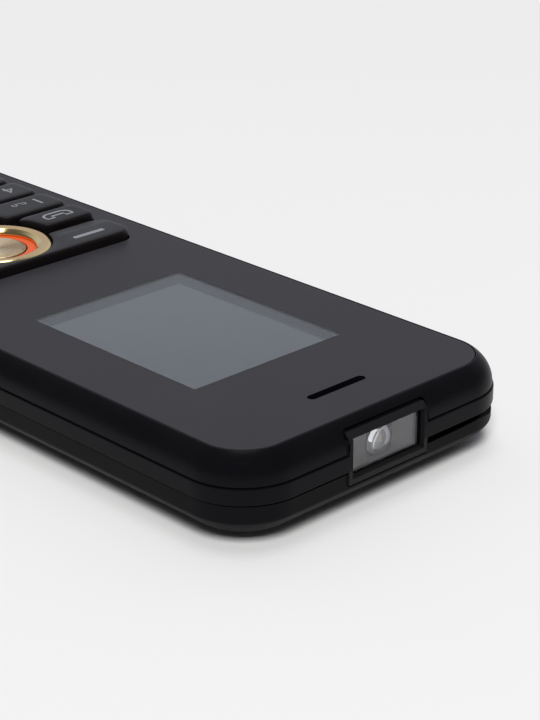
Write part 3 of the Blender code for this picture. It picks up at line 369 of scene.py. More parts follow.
CASING = grained("satin_black_plastic", (0.0042, 0.0038, 0.0050), 0.33, 0.065, 0.15, 0.0130)
COVER = grained("cover_plastic", (0.0042, 0.0038, 0.0048), 0.50, 0.065, 0.15, 0.0130)
CASING_LIP = grained("casing_lip", (0.0042, 0.0038, 0.0050), 0.24, 0.36, 0.15, 0.0040)
# A lighter copy of the casing plastic for the torch's frame: painted light, so that its sloping faces don't go dark.
TORCH_FRAME_PAINTED_LIGHT = grained("torch_frame_painted_light", (0.0120, 0.0115, 0.0125), 0.42, 0.10, 0.15, 0.0080)
PANEL_FACE = grained("panel_plate", (0.036, 0.035, 0.040), 0.42, 0.08, 0.06, 0.0012, 0.04)
KEY_FACE = grained("key_plastic", (0.0062, 0.0048, 0.0056), 0.36, 0.26, 0.07, 0.0015, 0.04,
                   Specular_Tint=(1.0, 0.93, 0.88, 1.0))
LEGEND = grained("legend_print", (0.25, 0.26, 0.285), 0.45, 0.4, 0.05, 0.001)
GOLD = metal("gold_plating", (0.93, 0.72, 0.34), 0.13, grain=0.9, depth=0.0008)
SATIN_GOLD = metal("satin_gold", (0.86, 0.60, 0.31), 0.30, grain=0.3, depth=0.0004)
# The centre disc's spun metal, with painted wedges of light and shade in its colour.
CHAMPAGNE_WITH_PAINTED_SHEEN = spun("spun_champagne_painted_sheen", (0.97, 0.75, 0.46), (0.50, 0.33, 0.17), 0.24, 0.75)
ORANGE = grained("orange_lacquer", (0.78, 0.10, 0.012), 0.35, 0.22, 0.08, 0.001)


def blacken_sides(piece, axis):
    """Give the casing's finish to the faces that don't look along an axis."""
    piece.data.materials.append(CASING)
    for face in piece.data.polygons:
        face.material_index = 0 if abs(face.normal[axis]) > 0.5 else 1


# Front housing, panel and window

NAMES = ("1", "2", "3", "4", "5", "6", "7", "8", "9", "star", "0", "hash")


def stems():
    """Where each key's stem passes through the deck."""
    places = {"call_key": (-15.6, CALL_Y), "end_key": (15.6, CALL_Y)}
    for index, name in enumerate(NAMES):
        row, across = divmod(index, 3)
        places[name] = ((across - 1) * COLUMN_STEP, FIRST_ROW - row * ROW_STEP - (0.0 if row else 1.75))
    return places


def edge_ring(turn, low):
    """The housing's curved edge: upright at its foot, at turn 0, and still sloping at the panel, at turn 1."""
    inward = (1 - math.cos(turn * EDGE_REACH)) / (1 - math.cos(EDGE_REACH))
    outer = (BODY[0] - 0.4, BODY[1] - 0.4, BODY[2] - 0.2)
    inner = (PANEL[0] + 2 * (SEAM + LIP), PANEL[1] + 2 * (SEAM + LIP), PANEL[2] + SEAM + LIP)
    sizes = [wide + (narrow - wide) * inward for wide, narrow in zip(outer, inner)]
    rise = math.sin(turn * EDGE_REACH) / math.sin(EDGE_REACH)
    return flat(rectangle(*sizes), low + (PANEL_TOP - low) * rise)


def casing(inset):
    return rectangle(BODY[0] - 2 * inset, BODY[1] - 2 * inset, BODY[2] - inset)


def front_housing():
    low = FRONT_SPLIT + SPLIT / 2
    rings = [flat(casing(CASING_WALL), DECK_TOP - 1.0), flat(casing(CASING_WALL), low),
             flat(casing(0.32), low), flat(casing(0.24), low + 0.03), flat(casing(0.2), low + 0.12)]
    rings += [edge_ring(step / 16 * 0.98, low + 0.18) for step in range(17)]
    recess = [PANEL[0] + 2 * SEAM, PANEL[1] + 2 * SEAM, PANEL[2] + SEAM]
    for inset, drop in ((LIP * 0.8, 0.005), (LIP * 0.6, 0.0), (LIP * 0.3, 0.0), (LIP * 0.1, 0.03), (0.0, 0.09)):
        rings.append(flat(rectangle(recess[0] + 2 * inset, recess[1] + 2 * inset, recess[2] + inset),
                          PANEL_TOP - drop))
    rings.append(flat(rectangle(*recess), DECK_TOP))
    housing = build("front_housing_shell", [rings], CASING)
    below, above = DECK_TOP - 2, DECK_TOP + 0.5
    glass_low, glass_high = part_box("display_glass")
    width, length = [(b - a) / MM + 0.4 for a, b in zip(glass_low[:2], glass_high[:2])]
    middle = (glass_low.y + glass_high.y) / 2 / MM
    carve(housing, [prism(rectangle(width, length, 0.8, 0, middle, 3), below, above),
                    prism(rectangle(12.4, 3.0, 0.3, 0, SLOT_Y, 3), below, above),
                    torch_space(0.36)])
    holes = [rectangle(4.4, 3.0, 0.4, x, y, 3) for x, y in stems().values()] + [circle(2.0, 0, NAV_Y, 32)]
    carve(housing, [prism(hole, below, above) for hole in holes])
    housing.data.materials.append(CASING_LIP)
    for face in housing.data.polygons:
        face.material_index = 1 if face.center.z > (PANEL_TOP - 0.02) * MM else 0
    finish_shading(housing)
    dress(housing, "phone", "casing_black", "front_housing")


def torch_space(gap):
    """The room for the torch's frame in the front housing."""
    outline = torch_outline(-gap, -gap, -gap, TORCH_CORNER + gap)
    return beam(outline, END - 8.5, END + 3.0)


def front_panel():
    edge = 0.10
    rings = [flat(rectangle(*PANEL), PANEL_BASE)]
    for inset, drop in ((0.0, edge), (0.03, 0.035), (edge, 0.0)):
        outline = rectangle(PANEL[0] - 2 * inset, PANEL[1] - 2 * inset, PANEL[2] - inset)
        rings.append(flat(outline, PANEL_TOP - drop))
    panel = build("panel_plate", [rings], PANEL_FACE)
    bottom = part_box("key_star")[0].y / MM - KEY_GAP
    bar_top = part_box("soft_key_bar")[1].y / MM + KEY_GAP
    call_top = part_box("call_key")[1].y / MM + KEY_GAP
    openings = (rectangle(39.3, bar_top - bottom, 2.7, 0, (bar_top + bottom) / 2, 8),
                rectangle(2 * KEY_END + 2 * KEY_GAP, call_top - bottom, 1.5, 0, (call_top + bottom) / 2, 8),
                rectangle(*window_size(0.0), 0.25, 0, window_y(), 4),
                rectangle(10.65, 1.4, 0.69, 0, SLOT_Y, 8),
                circle(0.5, 0, -PANEL[1] / 2 + 4.0, 24))
    carve(panel, [prism(outline, PANEL_BASE - 1, PANEL_TOP + 1) for outline in openings])
    # The plate's sides take the casing's near-black finish, which paints shade into the seam round the plate and
    # into its openings.
    blacken_sides(panel, 2)
    finish_shading(panel)
    dress(panel, "phone", "panel_black", "front_panel")


def window_size(gap):
    low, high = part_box("window_lens")
    return [(b - a) / MM + 0.6 - 2 * gap for a, b in zip(low[:2], high[:2])]


def window_y():
    low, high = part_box("window_lens")
    return (low.y + high.y) / 2 / MM


def window_lens():
    """A thin clear plate over a gap, with black sides."""
    glass, shader = shader_of("clear_window", (0.93, 0.95, 0.97), 0.03, Transmission_Weight=1.0, IOR=1.47)
    slow = noise_of(glass, 60.0, 2.0)
    glass.node_tree.links.new(ranged(glass, slow, 0.01, 0.03), shader.inputs["Roughness"])
    outline = rectangle(*window_size(0.02), 0.23, 0, window_y(), 4)
    lens = build("window_plate", [prism(outline, PANEL_TOP - 0.5, PANEL_TOP - 0.012)], glass, smooth=False)
    blacken_sides(lens, 2)
    dress(lens, "phone", "clear_window", "window_lens")


# Mid frame and rear cover

def torch_outline(side, head, sill, corner=0.0):
    """The torch's frame or opening, drawn in from its outer size, with its upper corners rounded."""
    half = TORCH_HALF - side
    low = TORCH_LOW + sill
    high = TORCH_HIGH - head
    turns = [math.pi / 8 * k for k in range(5)] if corner else [0.0]
    right = [(half - corner + corner * math.cos(a), high - corner + corner * math.sin(a)) for a in turns]
    left = [(-x, z) for x, z in right[::-1]]
    return [(-half, low), (half, low), (half, TORCH_BEND), *right, *left, (-half, TORCH_BEND)]


def lean(ring, edge_y):
    """Lean the upper part of a ring back, as the torch's frame follows the housing's edge."""
    reach = TORCH_HIGH - TORCH_BEND
    return [(x, edge_y - TORCH_LEAN * max(0.0, z - TORCH_BEND) / reach, z) for x, _, z in ring]


def in_frame_painted_light(x, y, z):
    """Whether a point of the mid frame lies on the torch's raised frame, and not where the band meets it: where the
    lighter plastic paints light on the frame.
    """
    met = abs(x) > TORCH_HALF - 0.4 and COVER_SPLIT < z < FRONT_SPLIT
    return abs(x) < TORCH_HALF + 0.01 and y > END - 3 and z > TORCH_LOW - 0.01 and not met


def mid_frame():
    low = COVER_SPLIT + SPLIT / 2
    high = FRONT_SPLIT - SPLIT / 2
    under = BODY[0] / 2 - 24.5
    rings = [flat(casing(under), 6.3), flat(casing(under), low), flat(casing(0.14), low),
             flat(casing(0.04), low + 0.04), flat(casing(0.0), low + 0.14),
             flat(casing(0.0), high - 0.14), flat(casing(0.04), high - 0.04), flat(casing(0.14), high),
             flat(casing(1.6), high), flat(casing(1.6), 7.3)]
    band = build("mid_band", [rings], CASING)
    outline = upright(torch_outline(0, 0, 0, TORCH_CORNER), END - 6.2)
    carve(band, [[outline, lean(outline, END - 0.02)]], "UNION")
    for side, head, sill, depth in ((0.65, 0.80, 0.75, 0.60), (0.77, 0.86, 1.05, 8.0)):
        carve(band, [beam(torch_outline(side, head, sill), END - depth, END + 3.0)])
    carve(band, [bay_walls()], "UNION", hoop=True)
    carve(band, floor_openings() + port_openings())
    soften(band, 0.07)
    # The torch's frame takes the lighter plastic, painted light on its sloping faces.
    band.data.materials.append(TORCH_FRAME_PAINTED_LIGHT)
    for face in band.data.polygons:
        if in_frame_painted_light(*(face.center / MM)):
            face.material_index = 1
    dress(band, "phone", "casing_black", "mid_frame")


def footprint(node, margin, corner=0.3, steps=3):
    """A rounded rectangle round a CAD node, seen from above."""
    low, high = [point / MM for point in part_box(node)]
    size = high - low
    x, y = (low.x + high.x) / 2, (low.y + high.y) / 2
    return rectangle(size.x + 2 * margin, size.y + 2 * margin, corner, x, y, steps)


def bay_walls():
    """The four walls round the battery, as one hoop."""
    inner, outer = footprint("battery", 0.3, 1.6, 6), footprint("battery", 1.3, 2.6, 6)
    return [flat(inner, 2.3), flat(outer, 2.3), flat(outer, 6.8), flat(inner, 6.8)]


def floor_openings():
    """Openings in the floor for what hangs under the board, and for the screws."""
    names = ("sim_holder_1", "sim_holder_2", "sim_holder_3", "memory_card_holder", "shield_can")
    shapes = [(footprint(name, 0.25), 5.9) for name in names]
    shapes.append((footprint("battery_connector", 0.25), 1.3))
    x, _ = jack_place()
    shapes.append((rectangle(6.3, 10.2, 0.3, x, -58.3, 3), 5.9))
    for k in (1, 2, 3, 4):
        low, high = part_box(f"case_screw_{k}")
        shapes.append((circle(0.95, (low.x + high.x) / 2 / MM, (low.y + high.y) / 2 / MM, 24), 5.9))
    return [prism(shape, base, 7.5) for shape, base in shapes]


def jack_place():
    low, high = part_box("headphone_socket")
    return (low.x + high.x) / 2 / MM, (low.z + high.z) / 2 / MM


def port_openings():
    """The openings of the two sockets, through the rear cover and the mid frame."""
    end = -END
    low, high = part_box("usb_socket")
    width, height = (high.x - low.x) / MM + 0.6, (high.z - low.z) / MM + 0.6
    usb = rectangle(width, height, 1.1, 0, (low.z + high.z) / 2 / MM, 6)
    jack = circle(2.42, *jack_place(), 40)
    return [beam(outline, end - 3, end + 6.2) for outline in (usb, jack)]


def cover_section(thickness):
    """Inset and height of the curved back, from its flat middle out to the ridge."""
    turn = math.pi / 2 - BACK_SLOPE
    curve = (COVER_RIDGE - RIDGE_ROUND * math.sin(turn)) / (1 - math.cos(BACK_SLOPE))
    flat_inset = BACK_INSET + RIDGE_ROUND * (1 - math.cos(turn)) + curve * math.sin(BACK_SLOPE)
    radius = curve - thickness
    return [(flat_inset - radius * math.sin(BACK_SLOPE * k / 16), curve - radius * math.cos(BACK_SLOPE * k / 16))
            for k in range(17)]


def back_ring(inset, z):
    return flat(rectangle(BODY[0] - 2 * inset, BODY[1] - 2 * inset, max(BODY[2] - inset, 1.6)), z)


def finger_slot(rim):
    """The slot beside the torch, deepest at its frame, that falls away inwards."""
    stations = ((-TORCH_HALF + 0.5, 0.86), (-TORCH_HALF - 7.0, 0.76), (-TORCH_HALF - 13.0, 0.60),
                (-BODY[0] / 2 - 2, 0.40))
    return [[(x, END - 12, rim - depth - 0.7), (x, END - 1.3, rim - depth - 0.7), (x, END - 0.1, rim - depth),
             (x, END + 3, rim - depth), (x, END + 3, rim + 2), (x, END - 12, rim + 2)]
            for x, depth in stations]


def wide_seam(rim):
    """The parting line on the torch's other side, a little wider near the torch."""
    stations = ((TORCH_HALF - 0.5, 0.20), (TORCH_HALF + 9.0, 0.17), (BODY[0] / 2 - 1, 0.03),
                (BODY[0] / 2 + 2, 0.0))
    return [[(x, END - 6, rim - depth), (x, END + 3, rim - depth), (x, END + 3, rim + 2), (x, END - 6, rim + 2)]
            for x, depth in stations]


def rear_cover():
    rim = COVER_SPLIT - SPLIT / 2
    profile = cover_section(0.0)
    for k in range(7, -1, -1):
        angle = RIDGE_TURN * k / 8
        profile.append((BACK_INSET + RIDGE_ROUND * (1 - math.cos(angle)),
                        COVER_RIDGE - RIDGE_ROUND * math.sin(angle)))
    profile += [(BACK_INSET, rim - 0.12), (0.24, rim - 0.03), (0.32, rim), (COVER_WALL, rim)]
    profile += [(max(inset, COVER_WALL), z) for inset, z in cover_section(1.0)[::-1]]
    cover = build("rear_shell", [[back_ring(inset, z) for inset, z in profile]], COVER)
    carve(cover, [finger_slot(rim), wide_seam(rim), notch_space(0.3)])
    carve(cover, port_openings())
    x, z = jack_place()
    pocket = rectangle(6.3, 2 * (COVER_SPLIT - z + 2.55), 0.3, x, COVER_SPLIT, 3)
    carve(cover, [beam(pocket, -END + 2.7, -END + 13)])
    tabs = [rectangle(1.0, 6.0, 0.2, side * 25.6, place * 33.0, 3) for side in (-1, 1) for place in (-1, 1)]
    carve(cover, [prism(tab, rim - 1.2, rim - 0.3) for tab in tabs], "UNION")
    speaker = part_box("loudspeaker")
    y = (speaker[0].y + speaker[1].y) / 2 / MM
    carve(cover, [prism(circle(0.6, 2.4 * k, y, 24), -1, 2) for k in range(-2, 3)])
    soften(cover, 0.06)
    dress(cover, "rear_cover", "casing_black", "rear_cover")


def headphone_jack():
    """A block with a round collar that fills the opening in the phone's end."""
    x, z = jack_place()
    low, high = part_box("headphone_socket")
    face, back = low.y / MM, high.y / MM
    surface = grained("socket_moulding", (0.014, 0.014, 0.015), 0.38, 0.35, 0.12, 0.004)
    block = rectangle(5.8, 4.6, 0.3, x, z, 3)
    jack = build("jack_body", [beam(block, face + 2.6, back)], surface)
    collar = [upright(circle(radius, x, z, 40), face + y) for radius, y in ((2.20, 0.0), (2.27, 0.07), (2.27, 3.0))]
    carve(jack, [collar], "UNION")
    bore = [(2.0, -0.5), (2.0, 0.0), (1.75, 0.25), (1.75, back - face - 0.6)]
    carve(jack, [[upright(circle(radius, x, z, 40), face + y) for radius, y in bore]])
    finish_shading(jack)
    dress(jack, "phone", None, "headphone_socket")


def notch_space(gap):
    """The room for the torch's frame in the rear cover, with rounded lower corners and wider inside."""
    half, height = TORCH_HALF + gap, TORCH_HIGH - TORCH_LOW + gap
    outline = rectangle(2 * half, 2 * height, 0.7, 0, TORCH_HIGH, 6)
    inner = rectangle(2 * half + 0.8, 2 * (height + 0.8), 0.7, 0, TORCH_HIGH, 6)
    return [*beam(inner, END - 6.5, END - 1.35), *beam(outline, END - 0.3, END + 3)]


# Torch

def torch_plate():
    glass, shader = shader_of("torch_clear", (0.95, 0.96, 0.97), 0.02, Transmission_Weight=1.0, IOR=1.45)
    bump(glass, shader, noise_of(glass, 900.0, 1.0), 0.001)
    plate = beam(torch_outline(0.81, 0.90, 1.09), TORCH_INNER - 1.6, TORCH_INNER - 1.2)
    lens = build("torch_plate", [plate], glass, smooth=False)
    blacken_sides(lens, 1)
    dress(lens, "phone", "clear_window", "torch_lens")


def reflector_tray():
    silver, shader = shader_of("satin_silver", (0.075, 0.072, 0.079), 0.40, metallic=0.3)
    slow = noise_of(silver, 700.0, 2.0)
    silver.node_tree.links.new(ranged(silver, slow, 0.34, 0.5), shader.inputs["Roughness"])
    bump(silver, shader, noise_of(silver, 4000.0, 2.0), 0.004)
    sizes = ((13.0, 5.2, -5.6), (13.3, 5.5, -1.66), (13.1, 5.3, -1.64), (12.9, 5.1, -1.80), (11.0, 5.0, -2.05),
             (6.4, 4.9, -2.45), (4.9, 4.9, -2.50), (4.8, 4.8, -3.15))
    rings = [upright(rectangle(width, height, 0.5, 0, TORCH_MIDDLE, 4), TORCH_INNER + y)
             for width, height, y in sizes]
    tray = build("reflector_tray", [rings], silver)
    finish_shading(tray)
    dress(tray, "phone", "reflector_silver", "torch_reflector")


def lamp_rings(profile):
    return [upright(circle(radius, 0, TORCH_MIDDLE, 48), TORCH_INNER + y) for radius, y in profile]


def lamp():
    clear, shader = shader_of("lamp_clear", (0.97, 0.98, 1.0), 0.01, Transmission_Weight=1.0, IOR=1.53)
    bump(clear, shader, noise_of(clear, 500.0, 1.0), 0.002)
    radius, foot = 2.15, -2.62
    turns = [math.pi / 2 * k / 14 for k in range(1, 14)]
    profile = [(radius, -2.86), (radius, foot)]
    profile += [(radius * math.cos(turn), foot + 0.96 * math.sin(turn)) for turn in turns]
    dome = build("lamp_dome", [lamp_rings(profile)], clear)
    finish_shading(dome)
    dress(dome, "phone", "led_clear", "torch_led")
    chrome = metal("lamp_chrome", (0.22, 0.22, 0.24), 0.13, depth=0.001)
    bowl = [(2.46, -2.60), (2.42, -2.38), (2.34, -2.34), (2.22, -2.60), (2.10, -2.92), (1.2, -3.02), (1.2, -3.10),
            (2.46, -3.10)]
    cup = build("lamp_cup", [lamp_rings(bowl)], chrome, hoop=True)
    dress(cup, "phone", "reflector_silver")
    phosphor = grained("lamp_phosphor", (0.42, 0.25, 0.20), 0.5, 0.4, 0.05, 0.002)
    square = rectangle(0.8, 0.8, 0.12, 0, TORCH_MIDDLE, 3)
    chip = build("lamp_chip", [beam(square, TORCH_INNER - 3.14, TORCH_INNER - 2.90)], phosphor)
    dress(chip, "phone", "led_clear")


# Keys

def key_distance(x, y, key):
    """How far a point lies outside a key's outline; negative inside it."""
    cx, cy, width, depth, corner, well = key
    dx = abs(x - cx) - (width / 2 - corner)
    dy = abs(y - cy) - (depth / 2 - corner)
    away = math.hypot(max(dx, 0.0), max(dy, 0.0)) + min(max(dx, dy), 0.0) - corner
    if not well:
        return away
    inside = well - math.hypot(x, y - NAV_Y)
    blend = max(WELL_BLEND - abs(away - inside), 0.0) / WELL_BLEND
    return max(away, inside) + blend * blend * WELL_BLEND / 4


def key_outline(key, start, inset):
    """Points at an inset from the key's edge, found along rays from the start point."""
    points = []
    for k in range(KEY_POINTS):
        turn = math.tau * k / KEY_POINTS
        dx, dy = math.cos(turn) * key[2], math.sin(turn) * key[3]
        size = math.hypot(dx, dy)
        dx, dy = dx / size, dy / size
        low, high = 0.0, 30.0
        for _ in range(26):
            middle = (low + high) / 2
            if key_distance(start[0] + dx * middle, start[1] + dy * middle, key) < -inset:
                low = middle
            else:
                high = middle
        points.append((start[0] + dx * low, start[1] + dy * low))
    return points


CROWN = ((0.0, 0.62), (0.02, 0.45), (0.09, 0.28), (0.20, 0.165), (0.36, 0.09), (0.58, 0.05), (0.95, 0.02),
         (1.45, 0.004))


def key_cap(node, key, start, stem):
    """A key with a crowned top and a stem. Its outline is (x, y, width, depth, corner, well)."""
    rings = [flat(key_outline(key, start, 0.0), KEY_BASE)]
    rings += [flat(key_outline(key, start, inset), KEY_TOP - drop) for inset, drop in CROWN]
    foot = prism(rectangle(3.8, 2.4, 0.2, stem[0], stem[1], 3), KEY_BASE - 1.4, KEY_BASE + 0.4)
    cap = build(f"{node}_cap", [rings, foot], KEY_FACE)
    finish_shading(cap)
    dress(cap, node, "key_black", node)


DIGITS = (("1", ""), ("2", "abc"), ("3", "def"), ("4", "ghi"), ("5", "jkl"), ("6", "mno"), ("7", "pqrs"),
          ("8", "tuv"), ("9", "wxyz"), ("*", "+"), ("0", "_"), ("#", ""))


def number_keys():
    for index, (name, (digit, letters)) in enumerate(zip(NAMES, DIGITS)):
        row, column = divmod(index, 3)
        x = (column - 1) * COLUMN_STEP
        y = FIRST_ROW - row * ROW_STEP
        under_ring = (row, column) == (0, 1)
        well = NAV_WELL if row == 0 else 0.0
        start = (x, y - (2.0 if under_ring else 0.4 if row == 0 else 0.0))
        width = MIDDLE_KEY_WIDTH if column == 1 else KEY_END - SIDE_KEY_START
        middle = (column - 1) * (SIDE_KEY_START + KEY_END) / 2
        body = f"key_{name}"
        key_cap(body, (middle, y, width, KEY_DEPTH, KEY_CORNER, well), start, stems()[name])
        drop = -0.9 if under_ring else 0.0
        legend(body, f"{body}_digit", digit, 3.9 if digit != "*" else 5.0, x - 3.4, y + drop)
        if letters:
            legend(body, f"{body}_letters", letters, 2.5, x + 1.9, y - 0.15 + drop)
    voicemail()
    width = KEY_END - CALL_KEY_START
    for name, side in (("call_key", -1), ("end_key", 1)):
        key = (side * (KEY_END - width / 2), CALL_Y, width, CALL_KEY_DEPTH, KEY_CORNER, NAV_WELL)
        key_cap(name, key, (side * 14.0, -21.6), stems()[name])
        handset(name, side * 14.6, -21.5, -side)


def legend(body, name, text, size, x, y):
    """Printed characters, centred on a point of a key's top."""
    curve = bpy.data.curves.new(name, "FONT")
    curve.body = text
    curve.size = size * MM
    curve.align_x = "CENTER"
    curve.align_y = "CENTER"
    curve.extrude = 0.008 * MM
    curve.offset = 0.02 * MM
    curve.resolution_u = 4
    source = bpy.data.objects.new(name, curve)
    bpy.context.scene.collection.objects.link(source)
    mesh = bpy.data.meshes.new_from_object(source.evaluated_get(bpy.context.evaluated_depsgraph_get()))
    bpy.data.objects.remove(source)
    xs = [v.co.x for v in mesh.vertices]
    ys = [v.co.y for v in mesh.vertices]
    middle = ((min(xs) + max(xs)) / 2, (min(ys) + max(ys)) / 2)
    shift = Vector((x * MM - middle[0], y * MM - middle[1], (KEY_TOP + 0.005) * MM))
    mesh.transform(Matrix.Translation(shift))
    mesh.materials.clear()
    mesh.materials.append(LEGEND)
    for face in mesh.polygons:
        face.material_index = 0
    piece = bpy.data.objects.new(name, mesh)
    bpy.context.scene.collection.objects.link(piece)
    dress(piece, body, None)


def stroke(body, name, paths, width):
    """Printed lines: flat ribbons of one width along paths of points."""
    low, high = PRINT
    strips, hoops = [], []
    for path, closed in paths:
        count = len(path)
        left, right = [], []
        for k, (x, y) in enumerate(path):
            before = path[(k - 1) % count] if closed or k else path[k]
            after = path[(k + 1) % count] if closed or k < count - 1 else path[k]
            dx, dy = after[0] - before[0], after[1] - before[1]
            size = math.hypot(dx, dy)
            nx, ny = -dy / size * width / 2, dx / size * width / 2
            left.append((x + nx, y + ny))
            right.append((x - nx, y - ny))
        if closed:
            hoops.append([[(*a, low), (*b, low), (*b, high), (*a, high)] for a, b in zip(left, right)])
        else:
            strips.append(prism(left + right[::-1], low, high))
    if strips:
        piece = build(name, strips, LEGEND, smooth=False)
        if hoops:
            join(piece, build("tool", hoops, LEGEND, hoop=True, smooth=False))
    else:
        piece = build(name, hoops, LEGEND, hoop=True, smooth=False)
    dress(piece, body, None)


def join(piece, other):
    """Move the other mesh into the piece's own."""
    shape = bmesh.new()
    shape.from_mesh(piece.data)
    shape.from_mesh(other.data)
    shape.to_mesh(piece.data)
    shape.free()
    mesh = other.data
    bpy.data.objects.remove(other)
    bpy.data.meshes.remove(mesh)


def voicemail():
    x, y = -13.2, -29.75
    loops = [(circle(0.42, x + side * 0.9, y, 20), True) for side in (-1, 1)]
    stroke("key_1", "key_1_icon", loops + [([(x - 0.9, y - 0.42), (x + 0.9, y - 0.42)], False)], 0.22)


def handset(body, x, y, kind):
    """An outlined handset, lying with its ends down for the call key and up for the end key."""
    half = 2.55
    outer = [(-half, -1.0), (-half, 0.15), (-half + 0.35, 0.75), (-half + 1.1, 1.1), (half - 1.1, 1.1),
             (half - 0.35, 0.75), (half, 0.15), (half, -1.0), (half - 1.35, -1.0), (half - 1.35, -0.15),
             (-half + 1.35, -0.15), (-half + 1.35, -1.0)]
    points = [(x + px, y - kind * py * 0.98) for px, py in outer]
    stroke(body, f"{body}_icon", [(points, True)], 0.46)


def soft_bar():
    low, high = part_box("soft_key_bar")
    y = (low.y + high.y) / 2 / MM
    width, depth, corner = 38.8, 8.5, 2.6
    rings = [flat(rectangle(width, depth, corner, 0, y), KEY_BASE)]
    rings += [flat(rectangle(width - 2 * inset, depth - 2 * inset, corner - inset, 0, y), KEY_TOP - drop)
              for inset, drop in CROWN]
    bar = build("soft_bar", [rings], KEY_FACE)
    well = [(NAV_RADIUS + 0.2, KEY_BASE - 3), (NAV_RADIUS + 0.2, KEY_TOP - 0.62), (NAV_RADIUS + 1.8, KEY_TOP + 0.02),
            (NAV_RADIUS + 1.8, KEY_TOP + 3)]
    carve(bar, [[flat(circle(radius, 0, NAV_Y, 128), z) for radius, z in well]])
    ridge = -12.9
    profile = [(ridge, KEY_TOP + 0.02), (ridge, KEY_TOP + 2), (ridge - 8, KEY_TOP + 2), (ridge - 8, KEY_TOP - 1.2)]
    carve(bar, [[[(side * 30, py, pz) for py, pz in profile] for side in (-1, 1)]])
    finish_shading(bar)
    dress(bar, "soft_keys", "key_black", "soft_key_bar")
    for side, name in ((-1, "soft_dash_left"), (1, "soft_dash_right")):
        outline = rectangle(6.1, 0.92, 0.3, side * 12.45, -10.75, 4)
        dash = build(name, [prism(outline, *PRINT)], LEGEND, smooth=False)
        dress(dash, "soft_keys", None)


# Navigation key

def turned(name, profile, surface, hoop=False, steps=128):
    """A turned piece whose own origin lies on the navigation key's axis."""
    piece = build(name, [[flat(circle(radius, 0, 0, steps), z) for radius, z in profile]], surface, hoop)
    piece.location = (0.0, NAV_Y * MM, 0.0)
    return piece


def navigation_key():
    profile = [(5.0, 12.75), (8.9, 12.75), (8.9, 13.84), (8.87, 13.92), (8.80, 13.98), (8.42, 14.22),
               (8.32, 14.27), (8.18, 14.29), (7.8, 14.25), (7.32, 14.18), (7.22, 14.15), (7.14, 14.09),
               (6.56, 13.74), (6.44, 13.64), (6.40, 13.5), (6.40, 12.9), (5.0, 12.9)]
    ring = turned("nav_ring_gold", profile, SATIN_GOLD, True)
    ring.data.materials.append(GOLD)
    for face in ring.data.polygons:
        middle = math.hypot(face.center.x, face.center.y) / MM
        face.material_index = 1 if middle < 7.2 or middle > 8.4 else 0
    finish_shading(ring)
    dress(ring, "nav_key", "ring_gold", "nav_ring")
    profile = [(5.05, 12.95), (6.36, 12.95), (6.36, 13.20), (6.30, 13.26), (6.1, 13.28), (5.25, 13.28),
               (5.08, 13.26), (5.05, 13.18)]
    accent = turned("accent_band", profile, ORANGE, True)
    finish_shading(accent)
    dress(accent, "nav_key", "accent_orange", "accent_ring")
    profile = [(1.6, 11.1), (1.6, 13.12), (4.84, 13.12), (4.84, 13.30), (4.81, 13.35), (4.74, 13.39),
               (4.20, 13.63), (4.08, 13.66), (3.96, 13.65), (3.1, 13.57), (2.2, 13.51), (1.3, 13.47), (0.4, 13.46)]
    # Its colour carries painted wedges of light and shade.
    disc = turned("centre_disc", profile, CHAMPAGNE_WITH_PAINTED_SHEEN, steps=96)
    finish_shading(disc)
    dress(disc, "centre_key", "champagne", "centre_key")


# Parts inside, seen with the rear cover lifted

def coat(surface, *names):
    for name in names:
        NODES[name].data.materials.clear()
        NODES[name].data.materials.append(surface)


def lined(name, colour, line, roughness, scale, width, metallic=0.0):
    """A surface crossed by fine lines between cells, such as a board's tracks or a flex."""
    made, shader = shader_of(name, colour, roughness, metallic=metallic)
    tree = made.node_tree
    place = tree.nodes.new("ShaderNodeTexCoord")
    cells = tree.nodes.new("ShaderNodeTexVoronoi")
    cells.feature = "DISTANCE_TO_EDGE"
    cells.distance = "EUCLIDEAN"
    cells.inputs["Scale"].default_value = scale
    tree.links.new(place.outputs["Object"], cells.inputs["Vector"])
    factor = ranged(made, cells.outputs["Distance"], 1.0, 0.0, width * 0.6, width)
    tree.links.new(mixed(made, factor, colour, line), shader.inputs["Base Color"])
    bump(made, shader, factor, 0.02)
    slow = noise_of(made, 200.0, 3.0)
    tree.links.new(ranged(made, slow, roughness - 0.06, roughness + 0.06), shader.inputs["Roughness"])
    return made


